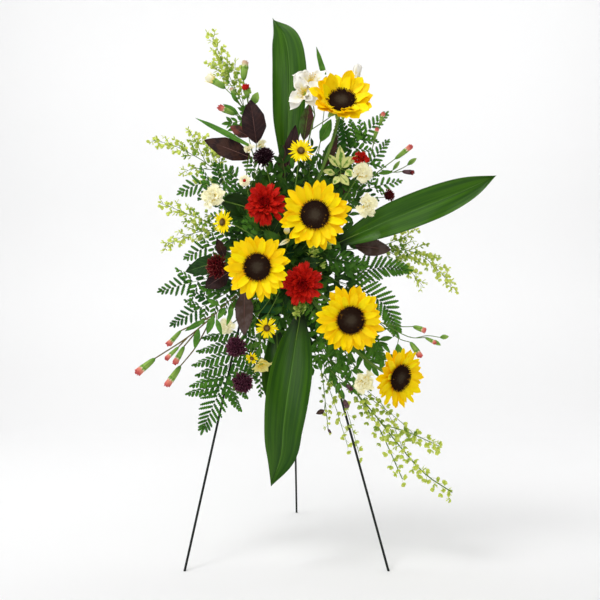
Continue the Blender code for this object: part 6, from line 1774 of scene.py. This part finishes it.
def fill_centre(filler):
    """Leafy sprigs and short fronds that hide the foam from the front and the sides."""
    for k in range(FILL_SPRIGS):
        turn = k * GOLDEN_ANGLE
        share = math.sqrt((k + 0.5) / FILL_SPRIGS)
        way = np.array((math.cos(turn), 0.0, math.sin(turn))) * share
        start, end = FILL_CENTRE + way * FILL_START, FILL_CENTRE + way * FILL_REACH
        end[1] = lerp(*FILL_DEPTH, share) + filler.rng.uniform(-12, 20)
        filler.sprig(start, end, 36, 15, 3)
    for across, rise in UPPER_SPRIGS:
        filler.sprig((across * 0.55, 58, 790), (across, 50, rise), 30, 12, 5)
    for across, rise in LOWER_SPRIGS:
        filler.sprig((across * 0.55, 60, 600), (across, 55, rise), 35, 12, 4, "green_leaf")
    for ends in BRACT_TWIGS:
        twig = spread(metres(ends), np.linspace(0, 1, 5))
        filler.form.tube(twig, FILL_TWIG, "stem", 4)
        bract_twig(filler.form, twig, unit(twig[-1] - twig[0]), 0.35, filler.rng, 0.0125, 0.0085)
    for points, reach in FILL_FRONDS:
        frond_rib(filler, points, reach, filler.rng.random(), reach > BRANCHED_REACH)


# More leaves of the pale spray: base, tip and width
PALE_LEAVES = (((88, 43, 910), (62, 30, 936), 17), ((104, 40, 900), (122, 20, 884), 18),
               ((80, 43, 893), (50, 26, 898), 15), ((104, 42, 912), (132, 30, 934), 14),
               ((90, 40, 886), (74, 22, 866), 16))


def build_leaf_sprays():
    left = Spray("burgundy_leaves_left", ("left", 100, 788),
                 [(-100, 85, 830), (-104, 55, 900), (-101, 42, 940)], 1.4, "burgundy_leaf", "burgundy_leaf")
    left.leaf([(-101, 42, 940), (-99, 35, 962)], (-112, 18, 1058), 56, sag=6, tone=0.16)
    left.leaf([(-103, 50, 915), (-112, 44, 930)], (-218, 30, 968), 48, sag=6, tone=0.3)
    left.leaf([(-103, 48, 922), (-112, 52, 955), (-118, 52, 980)], (-161, 46, 1003), 26, tone=0.62)
    left.leaf([(-102, 46, 932), (-116, 12, 953)], (-236, 20, 1016), 14, tone=0.9, paint="green_leaf",
              outline="grass")
    left.finish()

    centre = Spray("burgundy_leaves_centre", ("top", -4, 98), [(-8, 88, 850)], 1.4, "burgundy_leaf",
                   "burgundy_leaf")
    centre.leaf([(-8, 88, 850), (-20, 72, 885), (-29, 63, 900)], (-10, 46, 1006), 36, tone=0.1)
    centre.leaf([(-8, 88, 848), (0, 92, 940), (9, 92, 980)], (22, 88, 1066), 34, paint="bronze_leaf")
    centre.leaf([(-7, 90, 845), (20, 78, 900), (48, 67, 972)], (72, 58, 1022), 26, paint="green_leaf",
                tone=0.4)
    centre.leaf([(-7, 90, 845), (30, 78, 880), (52, 60, 906)], (86, 46, 984), 26, paint="bronze_leaf")
    centre.leaf([(-8, 88, 850), (-30, 80, 870), (-44, 70, 884)], (-38, 50, 962), 24, paint="bronze_leaf")
    centre.finish()

    right = Spray("burgundy_leaves_right", ("right", 114, 745), [(60, 108, 746), (100, 100, 738)], 1.4,
                  "burgundy_leaf", "burgundy_leaf")
    right.leaf([(100, 100, 738), (130, 94, 732)], (214, 86, 722), 42, sag=5)
    right.leaf([(60, 108, 746), (76, 95, 800), (82, 82, 850)], (122, 60, 856), 26)
    right.leaf([(82, 82, 850), (84, 78, 872)], (96, 66, 915), 24)
    right.bloom(floret_end, (203, 55, 845), (0.6, -0.7, 0.2), [(78, 92, 812), (130, 80, 835)], 10, 16, 16,
                10, 53, "oxblood_floret")
    right.finish()

    low = Spray("burgundy_leaves_low", ("left", 100, 704), [(-120, 88, 706), (-150, 75, 702)], 1.4,
                "burgundy_leaf", "burgundy_leaf")
    low.leaf([(-150, 75, 702), (-176, 64, 697)], (-264, 55, 670), 45, tone=0.3, paint="filler_leaf")
    low.leaf([(-148, 76, 702), (-174, 60, 704)], (-190, 44, 746), 24, tone=0.35)
    low.leaf([(-140, 80, 704), (-150, 55, 682), (-162, 43, 669)], (-216, 30, 632), 44, tone=0.15)
    low.leaf([(-135, 82, 704), (-132, 62, 660), (-127, 43, 628)], (-126, 20, 524), 42, tone=0.95)
    low.bloom(floret_end, (-184, 8, 680), (-0.4, -0.9, 0.0), [(-150, 55, 682)], 12, 29, 22, 13, 52,
              "oxblood_floret")
    low.finish()

    pale = Spray("pale_leaves", ("top", 16, 108), [(28, 100, 850)], 1.4, "pale_leaf", "pale_leaf")
    pale.leaf([(28, 100, 850), (60, 75, 885), (94, 45, 905)], (90, 24, 955), 22)
    pale.leaf([(94, 45, 905), (97, 41, 907)], (115, 26, 931), 20)
    pale.leaf([(78, 58, 896), (90, 48, 892)], (112, 38, 866), 20)
    for base, tip, width in PALE_LEAVES:
        pale.leaf([(94, 45, 905), base], tip, width)
    pale.leaf([(27, 101, 845), (45, 104, 960), (58, 96, 1060), (62, 88, 1115)], (38, 80, 1196), 14, sag=-4,
              tone=0.9, paint="green_leaf", outline="grass")
    pale.finish()

    filler = Spray("filler_leaves", ("front", -38, 710), [(-34, 30, 712)], 1.4, "fern_green", "filler_leaf")
    filler.leaf([(-34, 30, 712), (-40, 24, 722)], (-82, 10, 762), 30)
    filler.leaf([(-34.5, 33, 712), (-30, 22, 724)], (-10, 0, 772), 26)
    filler.leaf([(-36, 42, 711), (-20, 30, 690), (-8, 22, 682)], (52, 6, 692), 30)
    filler.leaf([(-35, 37, 712), (-34, 26, 692)], (-36, 6, 640), 24)
    filler.leaf([(-36, 46, 711), (0, 36, 716), (16, 26, 718)], (62, 10, 722), 26)
    filler.leaf([(0, 36, 716), (18, 24, 734)], (52, 12, 772), 26)
    filler.leaf([(-36, 41, 712), (-60, 30, 735), (-64, 26, 752)], (-40, 18, 796), 26)
    filler.leaf([(-30, 32, 697), (-2, 22, 664), (10, 16, 636)], (22, -2, 594), 26)
    filler.leaf([(-2, 22, 664), (18, 16, 652)], (50, 6, 640), 22)
    filler.leaf([(-34, 26, 730), (-22, 4, 741)], (-48, -6, 726), 10, paint="cream_petal")
    filler.leaf([(-34, 26, 735), (-31, 6, 752)], (-27, -6, 773), 14, paint="cream_petal")
    fill_centre(filler)
    filler.finish()


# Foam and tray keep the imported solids

def dress_solids():
    for node, paint in (("foam", "wet_foam"), ("foam_tray", "tray_green")):
        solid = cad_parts[node]
        solid.data.materials.clear()
        solid.data.materials.append(PAINTS[paint])


# Floor, lights and camera

SWEEP_FRONT = -4.0
SWEEP_BACK = 1.6
SWEEP_BEND = 1.2
SWEEP_TOP = 4.5
SWEEP_SIDE = 6.0
SPRAY_MIDDLE = (0.0, 0.0, 0.6)


def build_sweep():
    """Floor that curves up into the backdrop."""
    profile = [(SWEEP_FRONT, 0.0), (SWEEP_BACK, 0.0)]
    profile.extend((SWEEP_BACK + SWEEP_BEND * math.sin(turn), SWEEP_BEND - SWEEP_BEND * math.cos(turn))
                   for turn in np.linspace(0.08, math.pi / 2, 14))
    profile.append((SWEEP_BACK + SWEEP_BEND, SWEEP_TOP))
    points = [(side, y, z - FLOOR_DROP) for y, z in profile for side in (-SWEEP_SIDE, SWEEP_SIDE)]
    faces = [(2 * k, 2 * k + 1, 2 * k + 3, 2 * k + 2) for k in range(len(profile) - 1)]
    mesh = bpy.data.meshes.new("sweep")
    mesh.from_pydata(points, [], faces)
    mesh.materials.append(PAINTS["studio_paper"])
    mesh.shade_smooth()
    sweep = bpy.data.objects.new("sweep", mesh)
    bpy.context.scene.collection.objects.link(sweep)


def area_light(name, place, target, size, watts):
    lamp = bpy.data.lights.new(name, "AREA")
    lamp.shape = "DISK"
    lamp.size = size
    lamp.energy = watts
    made = bpy.data.objects.new(name, lamp)
    made.location = place
    made.rotation_euler = (Vector(target) - Vector(place)).to_track_quat("-Z", "Y").to_euler()
    bpy.context.scene.collection.objects.link(made)


def light_studio():
    area_light("key_light", (-1.2, -1.1, 3.0), SPRAY_MIDDLE, 0.9, 30)
    area_light("front_fill", (-0.5, -3.2, 1.7), SPRAY_MIDDLE, 2.6, 32)
    for side, watts in ((-1, 21), (1, 25)):
        area_light("backdrop_light", (side * 1.5, 0.6, 2.8), (side * 1.3, 2.8, 0.9), 2.0, watts)
    world = bpy.data.worlds.new("studio")
    world.use_nodes = True
    nodes = world.node_tree.nodes
    height = Shade(nodes, None).node("ShaderNodeTexCoord", None, None, "Generated").part(2)
    glow = height.ease(0.05, 0.75) * 0.54 + 0.15
    glow.feed(nodes["Background"].inputs["Strength"], glow)
    nodes["Background"].inputs["Color"].default_value = (1.0, 1.0, 1.0, 1.0)
    bpy.context.scene.world = world


def place_camera():
    lens = bpy.data.cameras.new("front_camera")
    lens.sensor_width = 36.0
    lens.lens = lens.sensor_width * FOCAL_PIXELS / PHOTO_SIDE
    lens.clip_end = 50.0
    made = bpy.data.objects.new("front_camera", lens)
    made.location = HOME + Vector((0.0, -CAMERA_DISTANCE, CAMERA_HEIGHT))
    made.rotation_euler = (math.pi / 2, 0.0, 0.0)
    bpy.context.scene.collection.objects.link(made)
    bpy.context.scene.camera = made
    bpy.context.scene.view_settings.view_transform = "Standard"


build_easel()
build_back_leg()
dress_solids()
build_strap_leaves()
build_sunflowers()
build_mums()
build_carnations()
build_dark_heads()
build_daisies()
build_leaf_sprays()
build_ferns()
build_goldenrod()
build_bells()
build_bud_sprays()
build_lilies()
build_sweep()
light_studio()
place_camera()
